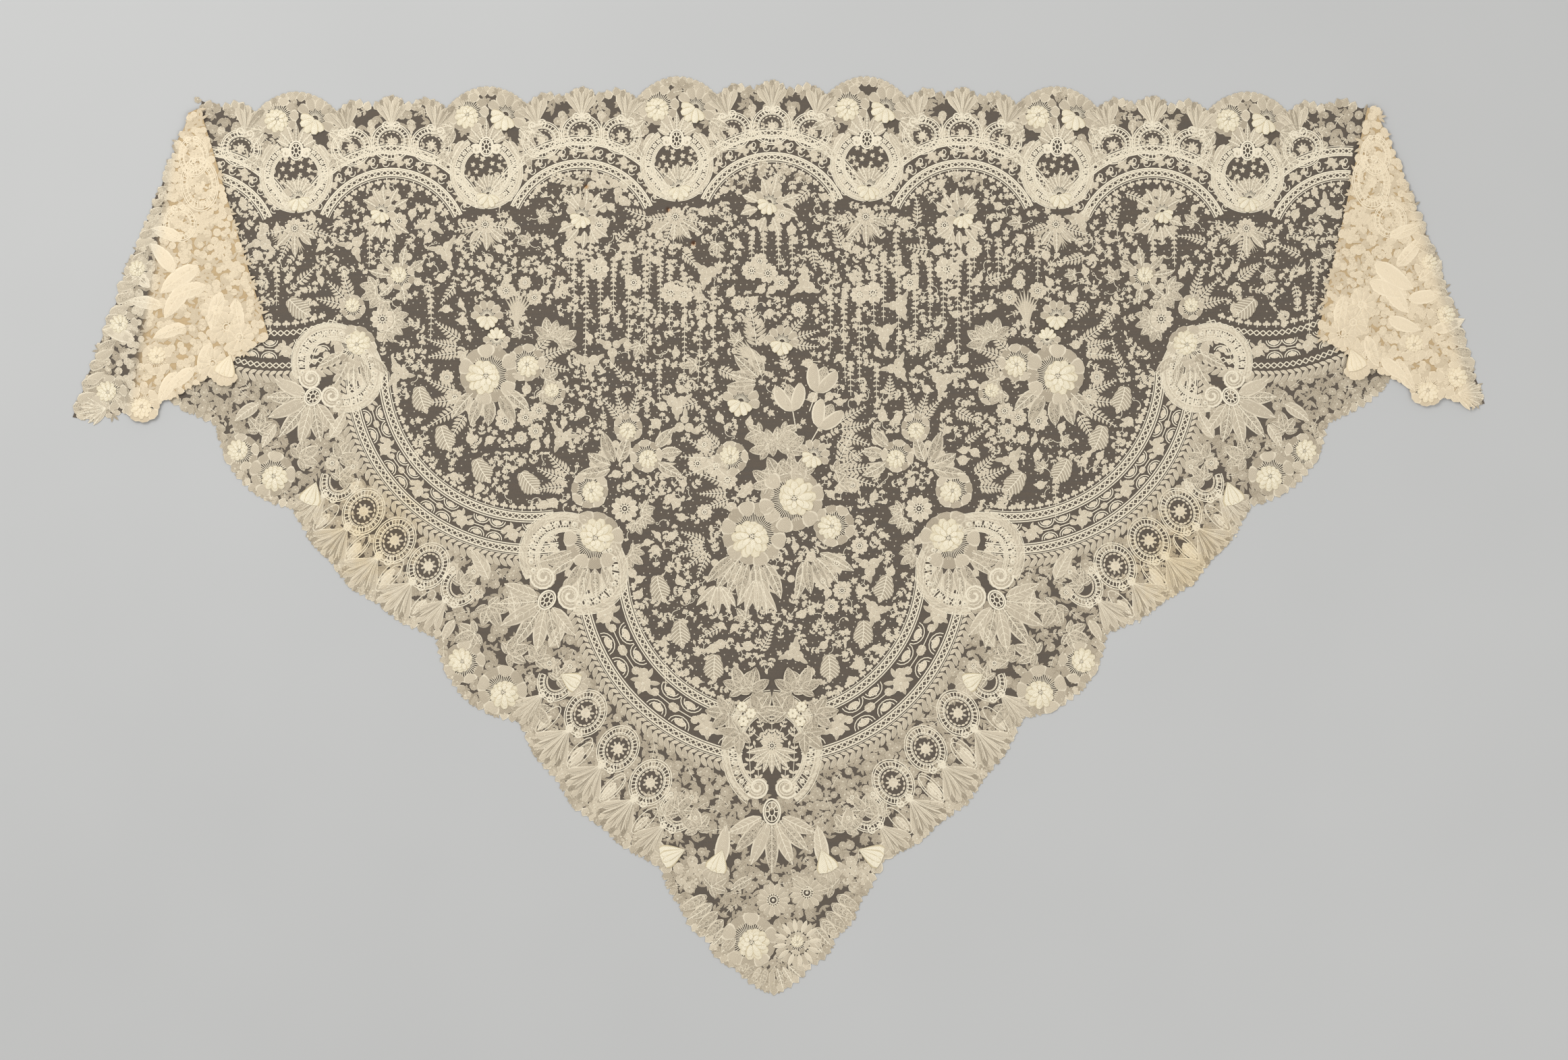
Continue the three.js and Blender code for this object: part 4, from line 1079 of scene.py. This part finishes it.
for name, end in ends.items():
    work["thick"] = "rosesFlap_" + name
    onto("flap_" + name, 0)
    side = end["side"]
    for u, v, r, aim in flapWork["roses"]:
        x, y, out = flapSpot(end, u, v)
        rose(x, y, r, aim if side < 0 else 180 - aim, 9)
    for u, v, rx, ry in flapWork["medallions"]:
        x, y, out = flapSpot(end, u, v)
        medallion(x, y, rx, ry, 95)
    for u, v, aim, size in flapWork["feathers"]:
        x, y, out = flapSpot(end, u, v)
        feather(x, y, aim if side < 0 else 180 - aim, size, 0.4 * size, 16, 0.95, 0, 6)
    for k in range(7):
        x, y, out = flapSpot(end, 0.975, 0.86)
        turn = 178 + 14 * (k - 2)
        feather(x, y, turn if side < 0 else 180 - turn, 40 - 3 * abs(k - 3), 11, 0, 0.5, k % 2, 5)
    for u, v in flapWork["daisies"]:
        x, y, out = flapSpot(end, u, v)
        daisy(x, y, 22, 11, 0.6)
    x, y, out = flapSpot(end, 0.98, 0.2)
    bell(x, y, 250 if side < 0 else 290, 44)
    for k in range(26):
        u = 0.12 + 0.86 * k / 25
        x, y, out = flapSpot(end, u, 1.0)
        tall = 31 * min(1, 2 * u)
        leaf(*step(x, y, out, 1 - tall), out + rng.uniform(-16, 16), tall, 0.55 * tall, 0, 0.9, 0.4, 0.1, 0.5, k % 2)
        leaf(*step(x, y, out, -8), out, 9, 12, 0, 0.6, 0.35, 0.1, 0.5)
    for k in range(24):
        x, y, out = flapSpot(end, 1.0, 0.04 + 0.92 * k / 23)
        leaf(*step(x, y, 270, -7), 270, 9, 11, 0, 0.6, 0.35, 0.1, 0.55)
    for u in np.linspace(0.06, 0.985, 40):
        across = int(40 * u) + 1
        for v in (np.arange(across) + 0.5) / across:
            x, y, out = flapSpot(end, u + rng.uniform(-0.012, 0.012), min(0.975, v + rng.uniform(-0.012, 0.012)))
            aim = rng.uniform(0, 360)
            if rng.random() < 0.45:
                floret(x, y, rng.uniform(4.5, 6.5), 5, 0.6)
            else:
                for turn in (-48, 0, 48):
                    leaf(x, y, aim + turn, rng.uniform(10, 14), 4.2, 0.3 * turn, 0.6, 0.7, 0, 0.05)
print("flaps laid")


# Meshes: N patches at once, each on its own grid of two parameters.


# Mirror rows: x changes sign, and aimed ones turn to 180 less aim with the opposite bend.
def twins(rows, aimed):
    r = np.array(rows, float)
    other = r[r[:, -1] > 0].copy()
    other[:, 0] *= -1
    if aimed:
        other[:, 2] = 180 - other[:, 2]
        other[:, 5] *= -1
    return np.concatenate([r, other])


# Corners of each grid cell, counted row by row for every patch.
def gridQuads(count, rows, cols):
    base = (np.arange(count)[:, None, None] * rows * cols + np.arange(rows - 1)[None, :, None] * cols
            + np.arange(cols - 1)[None, None, :])
    return np.stack([base, base + cols, base + cols + 1, base + 1], -1).reshape(-1, 4)


# Patch: its middle line turns evenly; half width is share^fore (1-share)^aft over its peak; rim and rib stand up.
def leafPatches(r, along, across, relief):
    x, y, aim, length, width, bend, fore, aft, lift, tone, gaps, _ = (c[:, None, None] for c in r.T)
    t = np.linspace(0.012, 0.985, along)[None, :, None]
    s = np.array(across)[None, None, :]
    turn = np.radians(bend) * t
    start = np.radians(aim - bend / 2)
    far = length * t * np.sinc(turn / (2 * np.pi))
    peak = (fore / (fore + aft)) ** fore * (aft / (fore + aft)) ** aft
    half = 0.5 * width * t ** fore * (1 - t) ** aft / peak
    px = x + far * np.cos(start + turn / 2) - s * half * np.sin(start + turn)
    py = y + far * np.sin(start + turn / 2) + s * half * np.cos(start + turn)
    pz = lift + np.array(relief)[None, None, :] * (0.5 + 0.5 * np.clip(half / 3, 0, 1)) + 0.12 + 0 * px
    full = np.ones_like(px)
    return {"p": np.stack([px, py, pz], -1).reshape(-1, 3), "quads": gridQuads(len(r), along, len(across)),
            "share": np.stack([t * full, 0.5 + 0.5 * s * full], -1).reshape(-1, 2),
            "size": np.stack([t * length * full, s * half * full], -1).reshape(-1, 2) / 100,
            "tone": (tone * full).ravel(), "gaps": (gaps * full).ravel()}


# Cord: a low three-point ridge carried along its path.
def cordRidges(rows):
    parts = []
    for count in sorted({len(r[0]) for r in rows}):
        picked = [r for r in rows if len(r[0]) == count]
        path = np.array([r[0] for r in picked])
        half, lift, tone, twin = (np.array([r[k] for r in picked]) for k in (1, 2, 3, 4))
        other = path[twin > 0] * (-1, 1)
        path = np.concatenate([path, other])
        half, lift, tone = (np.concatenate([v, v[twin > 0]])[:, None, None] for v in (half, lift, tone))
        way = np.gradient(path, axis=1)
        way /= np.maximum(np.linalg.norm(way, axis=2, keepdims=True), 1e-9)
        side = np.stack([-way[..., 1], way[..., 0]], -1)
        s = np.array([-1, 0, 1.0])
        p = path[:, :, None, :] + side[:, :, None, :] * s[None, None, :, None] * half[..., None]
        pz = np.broadcast_to(lift + 0.1 + (1 - np.abs(s))[None, None, :] * np.minimum(0.75 * half, 0.9), p.shape[:3])
        full = np.ones(p.shape[:3])
        gone = np.cumsum(np.linalg.norm(np.diff(path, axis=1), axis=2), 1)
        run = np.concatenate([np.zeros((len(path), 1)), gone], 1)
        parts.append({"p": np.concatenate([p, pz[..., None]], -1).reshape(-1, 3),
                      "quads": gridQuads(len(path), count, 3),
                      "share": np.stack([full * 0.5, (0.5 + 0.5 * s) * full], -1).reshape(-1, 2),
                      "size": np.stack([run[:, :, None] * full, s * half * full], -1).reshape(-1, 2) / 100,
                      "tone": (tone * full).ravel(), "gaps": (0 * full).ravel()})
    return parts


# Dot: a low dome on a grid of two rings by seven angles, the inner ring nearly closed.
def dotDomes(r):
    x, y, radius, lift, tone, _ = (c[:, None, None] for c in r.T)
    a = np.linspace(0, 2 * np.pi, 7)[None, None, :]
    ring = np.array([1, 0.15])[None, :, None]
    full = np.ones((len(r), 2, 7))
    p = np.stack([x + radius * ring * np.cos(a) * full, y + radius * ring * np.sin(a) * full,
                  lift + 0.15 + 0.7 * radius * (1 - ring) * full], -1)
    quads = gridQuads(len(r), 2, 7)[:, ::-1]
    return {"p": p.reshape(-1, 3), "quads": quads, "share": np.full((full.size, 2), 0.5),
            "size": np.zeros((full.size, 2)), "tone": (tone * full).ravel(), "gaps": (0 * full).ravel()}


# One mesh of all parts, raised by the ground below each point, with two UV maps and three attributes.
def smoothMesh(name, parts, ground, material, warmth=None):
    offsets = np.cumsum([0] + [len(q["p"]) for q in parts[:-1]])
    p = np.concatenate([q["p"] for q in parts])
    quads = np.concatenate([q["quads"] + o for q, o in zip(parts, offsets)])
    warm = warmth(p[:, 0], p[:, 1]) if warmth else np.zeros(len(p))
    p = p + np.column_stack([np.full(len(p), axisX), np.full(len(p), crestY), ground(p[:, 0], p[:, 1])])
    mesh = bpy.data.meshes.new(name)
    mesh.vertices.add(len(p))
    mesh.vertices.foreach_set("co", (p / 1000).astype(np.float32).ravel())
    mesh.loops.add(quads.size)
    mesh.loops.foreach_set("vertex_index", quads.astype(np.int32).ravel())
    mesh.polygons.add(len(quads))
    mesh.polygons.foreach_set("loop_start", np.arange(0, quads.size, 4, dtype=np.int32))
    mesh.polygons.foreach_set("loop_total", np.full(len(quads), 4, np.int32))
    mesh.update(calc_edges=True)
    mesh.polygons.foreach_set("use_smooth", np.ones(len(quads), bool))
    for key in ("share", "size"):
        values = np.concatenate([q[key] for q in parts])[quads.ravel()]
        mesh.uv_layers.new(name=key).data.foreach_set("uv", values.astype(np.float32).ravel())
    for key in ("tone", "gaps"):
        mesh.attributes.new(key, "FLOAT", "POINT").data.foreach_set(
            "value", np.concatenate([q[key] for q in parts]).astype(np.float32))
    mesh.attributes.new("warm", "FLOAT", "POINT").data.foreach_set("value", warm.astype(np.float32))
    mesh.materials.append(material)
    piece = bpy.data.objects.new(name, mesh)
    bpy.context.scene.collection.objects.link(piece)
    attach(piece, "root")
    return piece


# Materials.


# sRGB hex to linear light: the standard curve, straight near black.
def linear(code):
    c = np.array([int(code[k:k + 2], 16) / 255 for k in (0, 2, 4)])
    c = np.where(c <= 0.04045, c / 12.92, ((c + 0.055) / 1.055) ** 2.4)
    return (*c.tolist(), 1.0)


# Adds one node with its settings; a socket among the links is joined, any other value is set.
def put(material, kind, links=None, **settings):
    tree = material.node_tree
    made = tree.nodes.new("ShaderNode" + kind)
    for key, value in settings.items():
        setattr(made, key, value)
    for key, value in (links or {}).items():
        if isinstance(value, bpy.types.NodeSocket):
            tree.links.new(value, made.inputs[key])
        else:
            made.inputs[key].default_value = value
    return made


# An empty node material.
def startMaterial(name):
    material = bpy.data.materials.new(name)
    material.use_nodes = True
    material.node_tree.nodes.clear()
    return material


# Closes a material with its shader and output.
def endMaterial(material, links):
    shader = put(material, "BsdfPrincipled", links)
    put(material, "OutputMaterial", {"Surface": shader.outputs[0]})
    return material


stains = (  # x, y, radius in mm of rust spots and browned patches, and the colour each turns the cloth
    (-154, -191, 6, "c98a4a"), (-117, -241, 6, "c98a4a"), (-590, -665, 110, "fdf7ea"), (610, -715, 120, "fdf7ea"),
    (-275, -158, 6, "d8a765"))


# Folded cloth lets less ground through and reads paler and warmer: the colour goes part of the way to one cream.
def folded(material, base, cream="fbe6c2", share=0.45):
    warm = put(material, "Attribute", attribute_name="warm")
    part = put(material, "Math", {0: warm.outputs["Fac"], 1: share}, operation="MULTIPLY")
    return put(material, "Mix", {0: part.outputs[0], 6: base, 7: linear(cream)}, data_type="RGBA").outputs[2]


# Age spots: each stain fades out from its middle; together they warm the colour.
def aged(material, base):
    place = put(material, "TexCoord")
    wander = put(material, "TexNoise", {"Vector": place.outputs["Object"], "Scale": 70.0, "Detail": 3.0})
    colour = base
    for x, y, r, rust in stains:
        middle = ((x + axisX) / 1000, (y + crestY) / 1000, 0)
        away = put(material, "VectorMath", {0: place.outputs["Object"], 1: middle}, operation="DISTANCE")
        rough = put(material, "Math", {0: wander.outputs["Fac"], 1: 1.3 * r / 1000, 2: away.outputs["Value"]},
                    operation="MULTIPLY_ADD")
        fade = put(material, "MapRange", {"Value": rough.outputs[0], "From Min": 0.6 * r / 1000,
                                          "From Max": 1.7 * r / 1000, "To Min": 1.0, "To Max": 0.0},
                   interpolation_type="SMOOTHSTEP")
        colour = put(material, "Mix", {0: fade.outputs[0], 6: colour, 7: linear(rust)}, data_type="RGBA",
                     blend_type="MULTIPLY").outputs[2]
    return colour


# Cotton clothwork, woven by needle: matt, a little grey where thin, bright along its corded rim and veins.
def cottonClothwork(name, thin, full, edge):
    material = startMaterial(name)
    share = put(material, "UVMap", uv_map="share")
    size = put(material, "UVMap", uv_map="size")
    tone = put(material, "Attribute", attribute_name="tone")
    gaps = put(material, "Attribute", attribute_name="gaps")
    parts = put(material, "SeparateXYZ", {0: share.outputs[0]})
    across = put(material, "Math", {0: parts.outputs["Y"], 1: 2.0, 2: -1.0}, operation="MULTIPLY_ADD")
    away = put(material, "Math", {0: across.outputs[0]}, operation="ABSOLUTE")
    rim = put(material, "MapRange", {"Value": away.outputs[0], "From Min": 0.66, "From Max": 0.86},
              interpolation_type="SMOOTHSTEP")
    spread = put(material, "SeparateXYZ", {0: size.outputs[0]})
    beside = put(material, "Math", {0: spread.outputs["Y"]}, operation="ABSOLUTE")
    slant = put(material, "Math", {0: beside.outputs[0], 1: -0.9, 2: spread.outputs["X"]}, operation="MULTIPLY_ADD")
    # veins 2.8 mm apart; the real ones are nearer 1.5 mm and too fine to show
    phase = put(material, "Math", {0: slant.outputs[0], 1: 2 * math.pi / 0.028}, operation="MULTIPLY")
    wave = put(material, "Math", {0: phase.outputs[0]}, operation="SINE")
    vein = put(material, "MapRange", {"Value": wave.outputs[0], "From Min": 0.2, "From Max": 0.9, "To Max": 0.5},
               interpolation_type="SMOOTHSTEP")
    drawn = put(material, "Math", {0: rim.outputs[0], 1: vein.outputs[0]}, operation="MAXIMUM")
    # thin filling has finer cords than the full motifs
    gauge = put(material, "Math", {0: tone.outputs["Fac"], 1: 0.75, 2: 0.3}, operation="MULTIPLY_ADD", use_clamp=True)
    line = put(material, "Math", {0: drawn.outputs[0], 1: gauge.outputs[0]}, operation="MULTIPLY")
    cloth = put(material, "Mix", {0: tone.outputs["Fac"], 6: linear(thin), 7: linear(full)}, data_type="RGBA")
    mixed = put(material, "Mix", {0: line.outputs[0], 6: cloth.outputs[2], 7: linear(edge)}, data_type="RGBA")
    place = put(material, "TexCoord")
    # close stitches about 0.7 mm apart, drawn at 1.4 mm so that they show
    stitch = put(material, "TexNoise", {"Vector": place.outputs["Object"], "Scale": 1 / 0.0014, "Detail": 2.0})
    shade = put(material, "MapRange", {"Value": stitch.outputs["Fac"], "From Min": 0.3,
                                       "From Max": 0.7, "To Min": 0.86, "To Max": 1.0})
    worn = put(material, "Mix", {0: 1.0, 6: mixed.outputs[2], 7: shade.outputs[0]}, data_type="RGBA",
               blend_type="MULTIPLY")
    colour = aged(material, folded(material, worn.outputs[2]))
    # open fillings: both sides of the rib are a net of 2.2 mm cells that lets the ground through
    cells = put(material, "TexVoronoi", {"Vector": place.outputs["Object"], "Scale": 1 / 0.0022},
                feature="DISTANCE_TO_EDGE")
    bars = put(material, "MapRange", {"Value": cells.outputs["Distance"], "From Min": 0.1,
                                      "From Max": 0.28, "To Min": 1.0, "To Max": 0.22})
    halfSide = put(material, "MapRange", {"Value": away.outputs[0], "From Min": 0.04, "From Max": 0.12})
    inner = put(material, "Math", {0: 1.0, 1: rim.outputs[0]}, operation="SUBTRACT")
    openPart = put(material, "Math", {0: halfSide.outputs[0], 1: inner.outputs[0]}, operation="MULTIPLY")
    openHere = put(material, "Math", {0: openPart.outputs[0], 1: gaps.outputs["Fac"]}, operation="MULTIPLY")
    alpha = put(material, "Mix", {0: openHere.outputs[0], 2: 1.0, 3: bars.outputs[0]}, data_type="FLOAT")
    bump = put(material, "Bump", {"Height": stitch.outputs["Fac"], "Strength": 0.35, "Distance": 0.0005})
    return endMaterial(material, {"Base Color": colour, "Roughness": 0.88, "Alpha": alpha.outputs[0],
                                  "Normal": bump.outputs[0], "Sheen Weight": 0.08, "Specular IOR Level": 0.2})


# Twisted cotton cord: matt, a little brighter than the cloth, with a slow twist.
def cottonCord(name, low, high):
    material = startMaterial(name)
    size = put(material, "UVMap", uv_map="size")
    tone = put(material, "Attribute", attribute_name="tone")
    # twist drawn about 5 mm apart; the real one, near 1 mm, is too fine to show
    wave = put(material, "TexWave", {"Vector": size.outputs[0], "Scale": 0.5 / 0.02 / 2, "Distortion": 1.5},
               bands_direction="DIAGONAL")
    cloth = put(material, "Mix", {0: tone.outputs["Fac"], 6: linear(low), 7: linear(high)}, data_type="RGBA")
    shade = put(material, "MapRange", {"Value": wave.outputs["Fac"], "To Min": 0.9, "To Max": 1.0})
    mixed = put(material, "Mix", {0: 1.0, 6: cloth.outputs[2], 7: shade.outputs[0]}, data_type="RGBA",
                blend_type="MULTIPLY")
    colour = aged(material, folded(material, mixed.outputs[2]))
    bump = put(material, "Bump", {"Height": wave.outputs["Fac"], "Strength": 0.3, "Distance": 0.0003})
    return endMaterial(material, {"Base Color": colour, "Roughness": 0.85, "Normal": bump.outputs[0],
                                  "Sheen Weight": 0.08, "Specular IOR Level": 0.2})


# Cotton net ground: a sheer veil; its 0.5 mm cells are too fine to show, so they are drawn as faint rows 5 mm apart.
# Its single-layer colour is a dark greige of painted shade, the shade in and under its own meshes; where layers stack
# it goes to the paler doubled colour.
def cottonNet(name, colour, doubled, cover):
    material = startMaterial(name)
    place = put(material, "TexCoord")
    spread = put(material, "Mapping", {"Vector": place.outputs["Object"], "Scale": (14.0, 200.0, 1.0)})
    rows = put(material, "TexNoise", {"Vector": spread.outputs[0], "Scale": 1.0, "Detail": 3.0, "Roughness": 0.6})
    cells = put(material, "TexNoise", {"Vector": place.outputs["Object"], "Scale": 1 / 0.0018, "Detail": 1.0})
    both = put(material, "Math", {0: cells.outputs["Fac"], 1: 0.5, 2: rows.outputs["Fac"]}, operation="MULTIPLY_ADD")
    alpha = put(material, "MapRange", {"Value": both.outputs[0], "From Min": 0.4, "From Max": 1.1,
                                       "To Min": cover - 0.1, "To Max": cover + 0.1})
    shade = put(material, "MapRange", {"Value": both.outputs[0], "From Min": 0.4, "From Max": 1.1, "To Min": 0.85,
                                       "To Max": 1.12})
    layers = put(material, "Attribute", attribute_name="tone")
    # painted shade: the dark single-layer colour, mixed towards the paler doubled colour by the number of layers
    both = put(material, "Mix", {0: layers.outputs["Fac"], 6: linear(colour), 7: linear(doubled)}, data_type="RGBA")
    mixed = put(material, "Mix", {0: 1.0, 6: both.outputs[2], 7: shade.outputs[0]}, data_type="RGBA",
                blend_type="MULTIPLY")
    warm = aged(material, mixed.outputs[2])
    cover = put(material, "Math", {0: layers.outputs["Fac"], 1: 0.3, 2: alpha.outputs[0]}, operation="MULTIPLY_ADD",
                use_clamp=True)
    return endMaterial(material, {"Base Color": warm, "Roughness": 0.95, "Alpha": cover.outputs[0],
                                  "Specular IOR Level": 0.1})


# the first net colour, 675d52, is painted shade: a dark greige for the shade in and under the net's meshes
cotton = {"cloth": ("aa9d88", "ecdfc6", "fbf0d8"), "petals": ("e9dcbd", "fff6de", "d9caa7"),
          "cord": ("d2c6ad", "f9efd8"), "net": ("675d52", "c6ad86"), "netCover": 0.83}
clothwork = cottonClothwork("cotton clothwork", *cotton["cloth"])
thickPetals = cottonClothwork("close cotton petals", *cotton["petals"])
outlineCord = cottonCord("twisted cotton cord", *cotton["cord"])
shadedNetGround = cottonNet("cotton net", *cotton["net"], cotton["netCover"])
print("materials made")

# Pieces.
bodyGround = lambda x, y: shawl["netHeight"] + 0 * x
broad = ([-1, -0.8, -0.14, 0, 0.14, 0.8, 1], [0, 0.75, 0.3, 0.7, 0.3, 0.75, 0])
narrow = ([-1, 0, 1], [0, 0.55, 0])
patch = {"longFrom": 16, "longRows": 7, "shortRows": 4, "most": 190000, "past": 4.6, "shortest": 0.4}
pieces = {}


# Trim: each leaf is shortened by steps until its tip stands no more than 4.6 mm outside the outline, or is dropped.
def trimmed(r):
    full, left = r[:, 3].copy(), np.arange(len(r))
    way = np.column_stack([np.cos(np.radians(r[:, 2])), np.sin(np.radians(r[:, 2]))])
    for share in np.linspace(1, patch["shortest"], 11):
        long = share * full[left]
        hit = inside(outline[::2], r[left, :2] + np.maximum(long - patch["past"], 0.4 * long)[:, None] * way[left])
        r[left[hit], 3] = long[hit]
        left = left[~hit]
    return np.delete(r, left, 0)


for name, parts in lace.items():
    ground = bodyGround
    cloth, warmth = (thickPetals if name.startswith("roses") else clothwork), None
    if name[-5:] in ("_left", "right"):
        end = ends[name.split("_")[1]]
        ground = lambda x, y, end=end: flapHeight(end, x, y)
        warmth = lambda x, y, end=end: flapWarmth(end, x, y)
    made = []
    r = twins(parts["leaf"], True)
    if ground is bodyGround:
        r = trimmed(r)
    long = r[:, 3] > patch["longFrom"]
    if long.any():
        made.append(leafPatches(r[long], patch["longRows"], *broad))
    small = [leafPatches(r[~long], patch["shortRows"], *narrow)] if (~long).any() else []
    crowded = 72 * long.sum() + 12 * (~long).sum() > patch["most"]  # a piece stays under 200,000 triangles
    if crowded:
        pieces[name + "_small"] = smoothMesh(name + "_small", small, ground, cloth, warmth)
    pieces[name + "_cloth"] = smoothMesh(name + "_cloth", made if crowded else made + small, ground, cloth, warmth)
    cords = [c for c in parts["cord"] if ground is not bodyGround or inside(outline[::2], c[0]).all()]
    made = cordRidges(cords) if cords else []
    if parts["dot"]:
        made.append(dotDomes(twins(parts["dot"], False)))
    if made:
        pieces[name + "_cords"] = smoothMesh(name + "_cords", made, ground, outlineCord, warmth)
    print(name, [2 * len(pieces[k].data.polygons) for k in pieces if k.startswith(name)])


# One grid of points as a plain part.
def sheetPart(p, tone):
    flat = np.zeros((tone.size, 2))
    return {"p": p.reshape(-1, 3), "quads": gridQuads(1, *p.shape[:2]), "share": flat, "size": flat,
            "tone": tone.ravel(), "gaps": 0 * tone.ravel()}


net = {"columns": 960, "rows": 12, "lowInset": 3, "topInset": 2.5, "noseRadius": 0.75, "hiddenHeight": 2.4}


# Net: columns across the shawl, each running evenly from the lower edge up to the top edge or the hidden fold.
def netSheet():
    low, high = ends["left"], ends["right"]
    x = np.linspace(low["hidden"][0] + 1, high["hidden"][0] - 1, net["columns"])
    folds = np.interp(x, [low["hidden"][0], low["apex"][0], high["apex"][0], high["hidden"][0]],
                      [low["hidden"][1], low["apex"][1] - 16, high["apex"][1] - 16, high["hidden"][1]])
    top = np.where((x > low["apex"][0] + 8) & (x < high["apex"][0] - 8), topLine(x), folds)
    edge = np.concatenate([[low["hidden"]], lowerLeft[:0:-1], lowerRight, [high["hidden"]]])
    edge = edge[np.argsort(edge[:, 0])]
    bottom = np.interp(x, edge[:, 0], edge[:, 1])
    v = np.linspace(0, 1, net["rows"])[None, :]
    bottom, top = bottom + net["lowInset"], top - net["topInset"]
    y = bottom[:, None] + (np.maximum(top, bottom + 1) - bottom)[:, None] * v
    p = np.stack([x[:, None] + 0 * y, y, 0 * y], -1)
    return sheetPart(p, 0 * y)


# Fold sheets: rows run along the folds; each row comes round a small nose and then lies flat.
def foldSheet(place, height, columns, warmth):
    u = np.linspace(flapShape["foldStart"], 1, 60)[:, None]
    nose = np.radians(np.linspace(-90, 90, 7))
    drop = net["noseRadius"]
    flat = place(u, columns[None, :])
    first = place(u, np.array([[0.0]]))
    way = flat[:, 1:2] - first
    way = way / np.linalg.norm(way, axis=2, keepdims=True)
    curl = first - way * (drop * np.cos(nose))[None, :, None]
    curlZ = height(first[..., 0], first[..., 1]) - drop + drop * np.sin(nose)[None, :]
    xy = np.concatenate([curl, flat[:, 1:]], 1)
    z = np.concatenate([curlZ, height(flat[:, 1:, 0], flat[:, 1:, 1])], 1)
    p = np.concatenate([xy, z[..., None]], -1)
    return sheetPart(p, warmth(xy[..., 0], xy[..., 1]))


flatZ = lambda x, y: 0 * x
pieces["netBody"] = smoothMesh("netBody", [netSheet()], bodyGround, shadedNetGround)
for name, end in ends.items():
    columns = np.linspace(0, 1, 40)
    part = foldSheet(lambda u, v: flapPlace(end, u, v), lambda x, y: flapHeight(end, x, y), columns,
                     lambda x, y: flapWarmth(end, x, y))
    pieces["flapNet_" + name] = smoothMesh("flapNet_" + name, [part], flatZ, shadedNetGround)
    apex, hidden, openFoot = (np.array(end[k], float) for k in ("apex", "hidden", "open"))
    hiddenPlace = lambda u, v: apex + (hidden - apex) * u[..., None] + ((openFoot - hidden) * u[..., None]) * v[...,
            None]
    part = foldSheet(lambda u, v: hiddenPlace(*np.broadcast_arrays(u, v)), lambda x, y: net["hiddenHeight"] + 0 * x,
                     np.linspace(0, 0.985, 24), lambda x, y: 1 + 0 * x)
    pieces["hiddenNet_" + name] = smoothMesh("hiddenNet_" + name, [part], flatZ, shadedNetGround)
print("sheets made")

# Outward faces: every sheet faces up.
for piece in pieces.values():
    normals = np.empty(3 * len(piece.data.polygons), np.float32)
    piece.data.polygons.foreach_get("normal", normals)
    if normals[2::3].sum() < 0:
        piece.data.flip_normals()

# CAD parts hidden from view and render.
sides = ("left", "right")
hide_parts("field")
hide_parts(*[f"arch_band_{i}" for i in range(1, 8)],
            *[f"{n}_band_{s}" for n in lobes for s in sides])
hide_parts(*[f"top_frame_{i}" for i in range(1, 7)], "frame_point",
            *[f"frame_{s}_{n}" for s in sides for n in ("upper", "lower")])
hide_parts("border_top")
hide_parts("border_left", "border_right")
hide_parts("corner")
for s in sides:
    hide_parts("flap_" + s)
    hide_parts("hidden_layer_" + s)


# Area of a piece: the sum of its faces.
def flatArea(piece):
    areas = np.empty(len(piece.data.polygons), np.float32)
    piece.data.polygons.foreach_get("area", areas)
    return float(areas.sum())


flatArea(pieces["netBody"])
for s in sides:
    flatArea(pieces["flapNet_" + s])
    flatArea(pieces["hiddenNet_" + s])

# Floor, light and camera.
studio = {"floor": "c4c5c5", "key": 95, "fill": 40, "world": 0.6, "sky": (1.0, 0.985, 0.96, 1), "lens": 100,
          "sensor": 36, "aim": (0.008, 0.009)}
floorMesh = bpy.data.meshes.new("floor")
floorMesh.from_pydata([(-6, -6, 0), (6, -6, 0), (6, 6, 0), (-6, 6, 0)], [], [(0, 1, 2, 3)])
floor = bpy.data.objects.new("floor", floorMesh)
bpy.context.scene.collection.objects.link(floor)
paper = startMaterial("matt paper floor")
place = put(paper, "TexCoord")
fleck = put(paper, "TexNoise", {"Vector": place.outputs["Object"], "Scale": 3.0, "Detail": 2.0})
pale = put(paper, "MapRange", {"Value": fleck.outputs["Fac"], "To Min": 0.97, "To Max": 1.03})
tint = put(paper, "Mix", {0: 1.0, 6: linear(studio["floor"]), 7: pale.outputs[0]}, data_type="RGBA",
           blend_type="MULTIPLY")
floorMesh.materials.append(endMaterial(paper, {"Base Color": tint.outputs[2], "Roughness": 0.95,
                                               "Specular IOR Level": 0.1}))

for name, spot, power, wide in (("key", (-2.2, 2.4, 3.4), studio["key"], 2.4),
                                ("fill", (2.6, -1.6, 3.2), studio["fill"], 3.0)):
    lamp = bpy.data.lights.new(name, "AREA")
    lamp.energy, lamp.size = power, wide
    light = bpy.data.objects.new(name, lamp)
    light.location = spot
    light.rotation_euler = (-Vector(spot)).to_track_quat("-Z", "Y").to_euler()
    bpy.context.scene.collection.objects.link(light)
world = bpy.data.worlds.new("soft room")
bpy.context.scene.world = world
world.use_nodes = True
world.node_tree.nodes["Background"].inputs[0].default_value = studio["sky"]
world.node_tree.nodes["Background"].inputs[1].default_value = studio["world"]
bpy.context.scene.view_settings.view_transform = "Standard"

camera = bpy.data.objects.new("camera", bpy.data.cameras.new("camera"))
camera.data.lens, camera.data.sensor_width = studio["lens"], studio["sensor"]
camera.location = (*studio["aim"], 2.324 * studio["lens"] / studio["sensor"])
bpy.context.scene.collection.objects.link(camera)
bpy.context.scene.camera = camera
print("camera and light set")
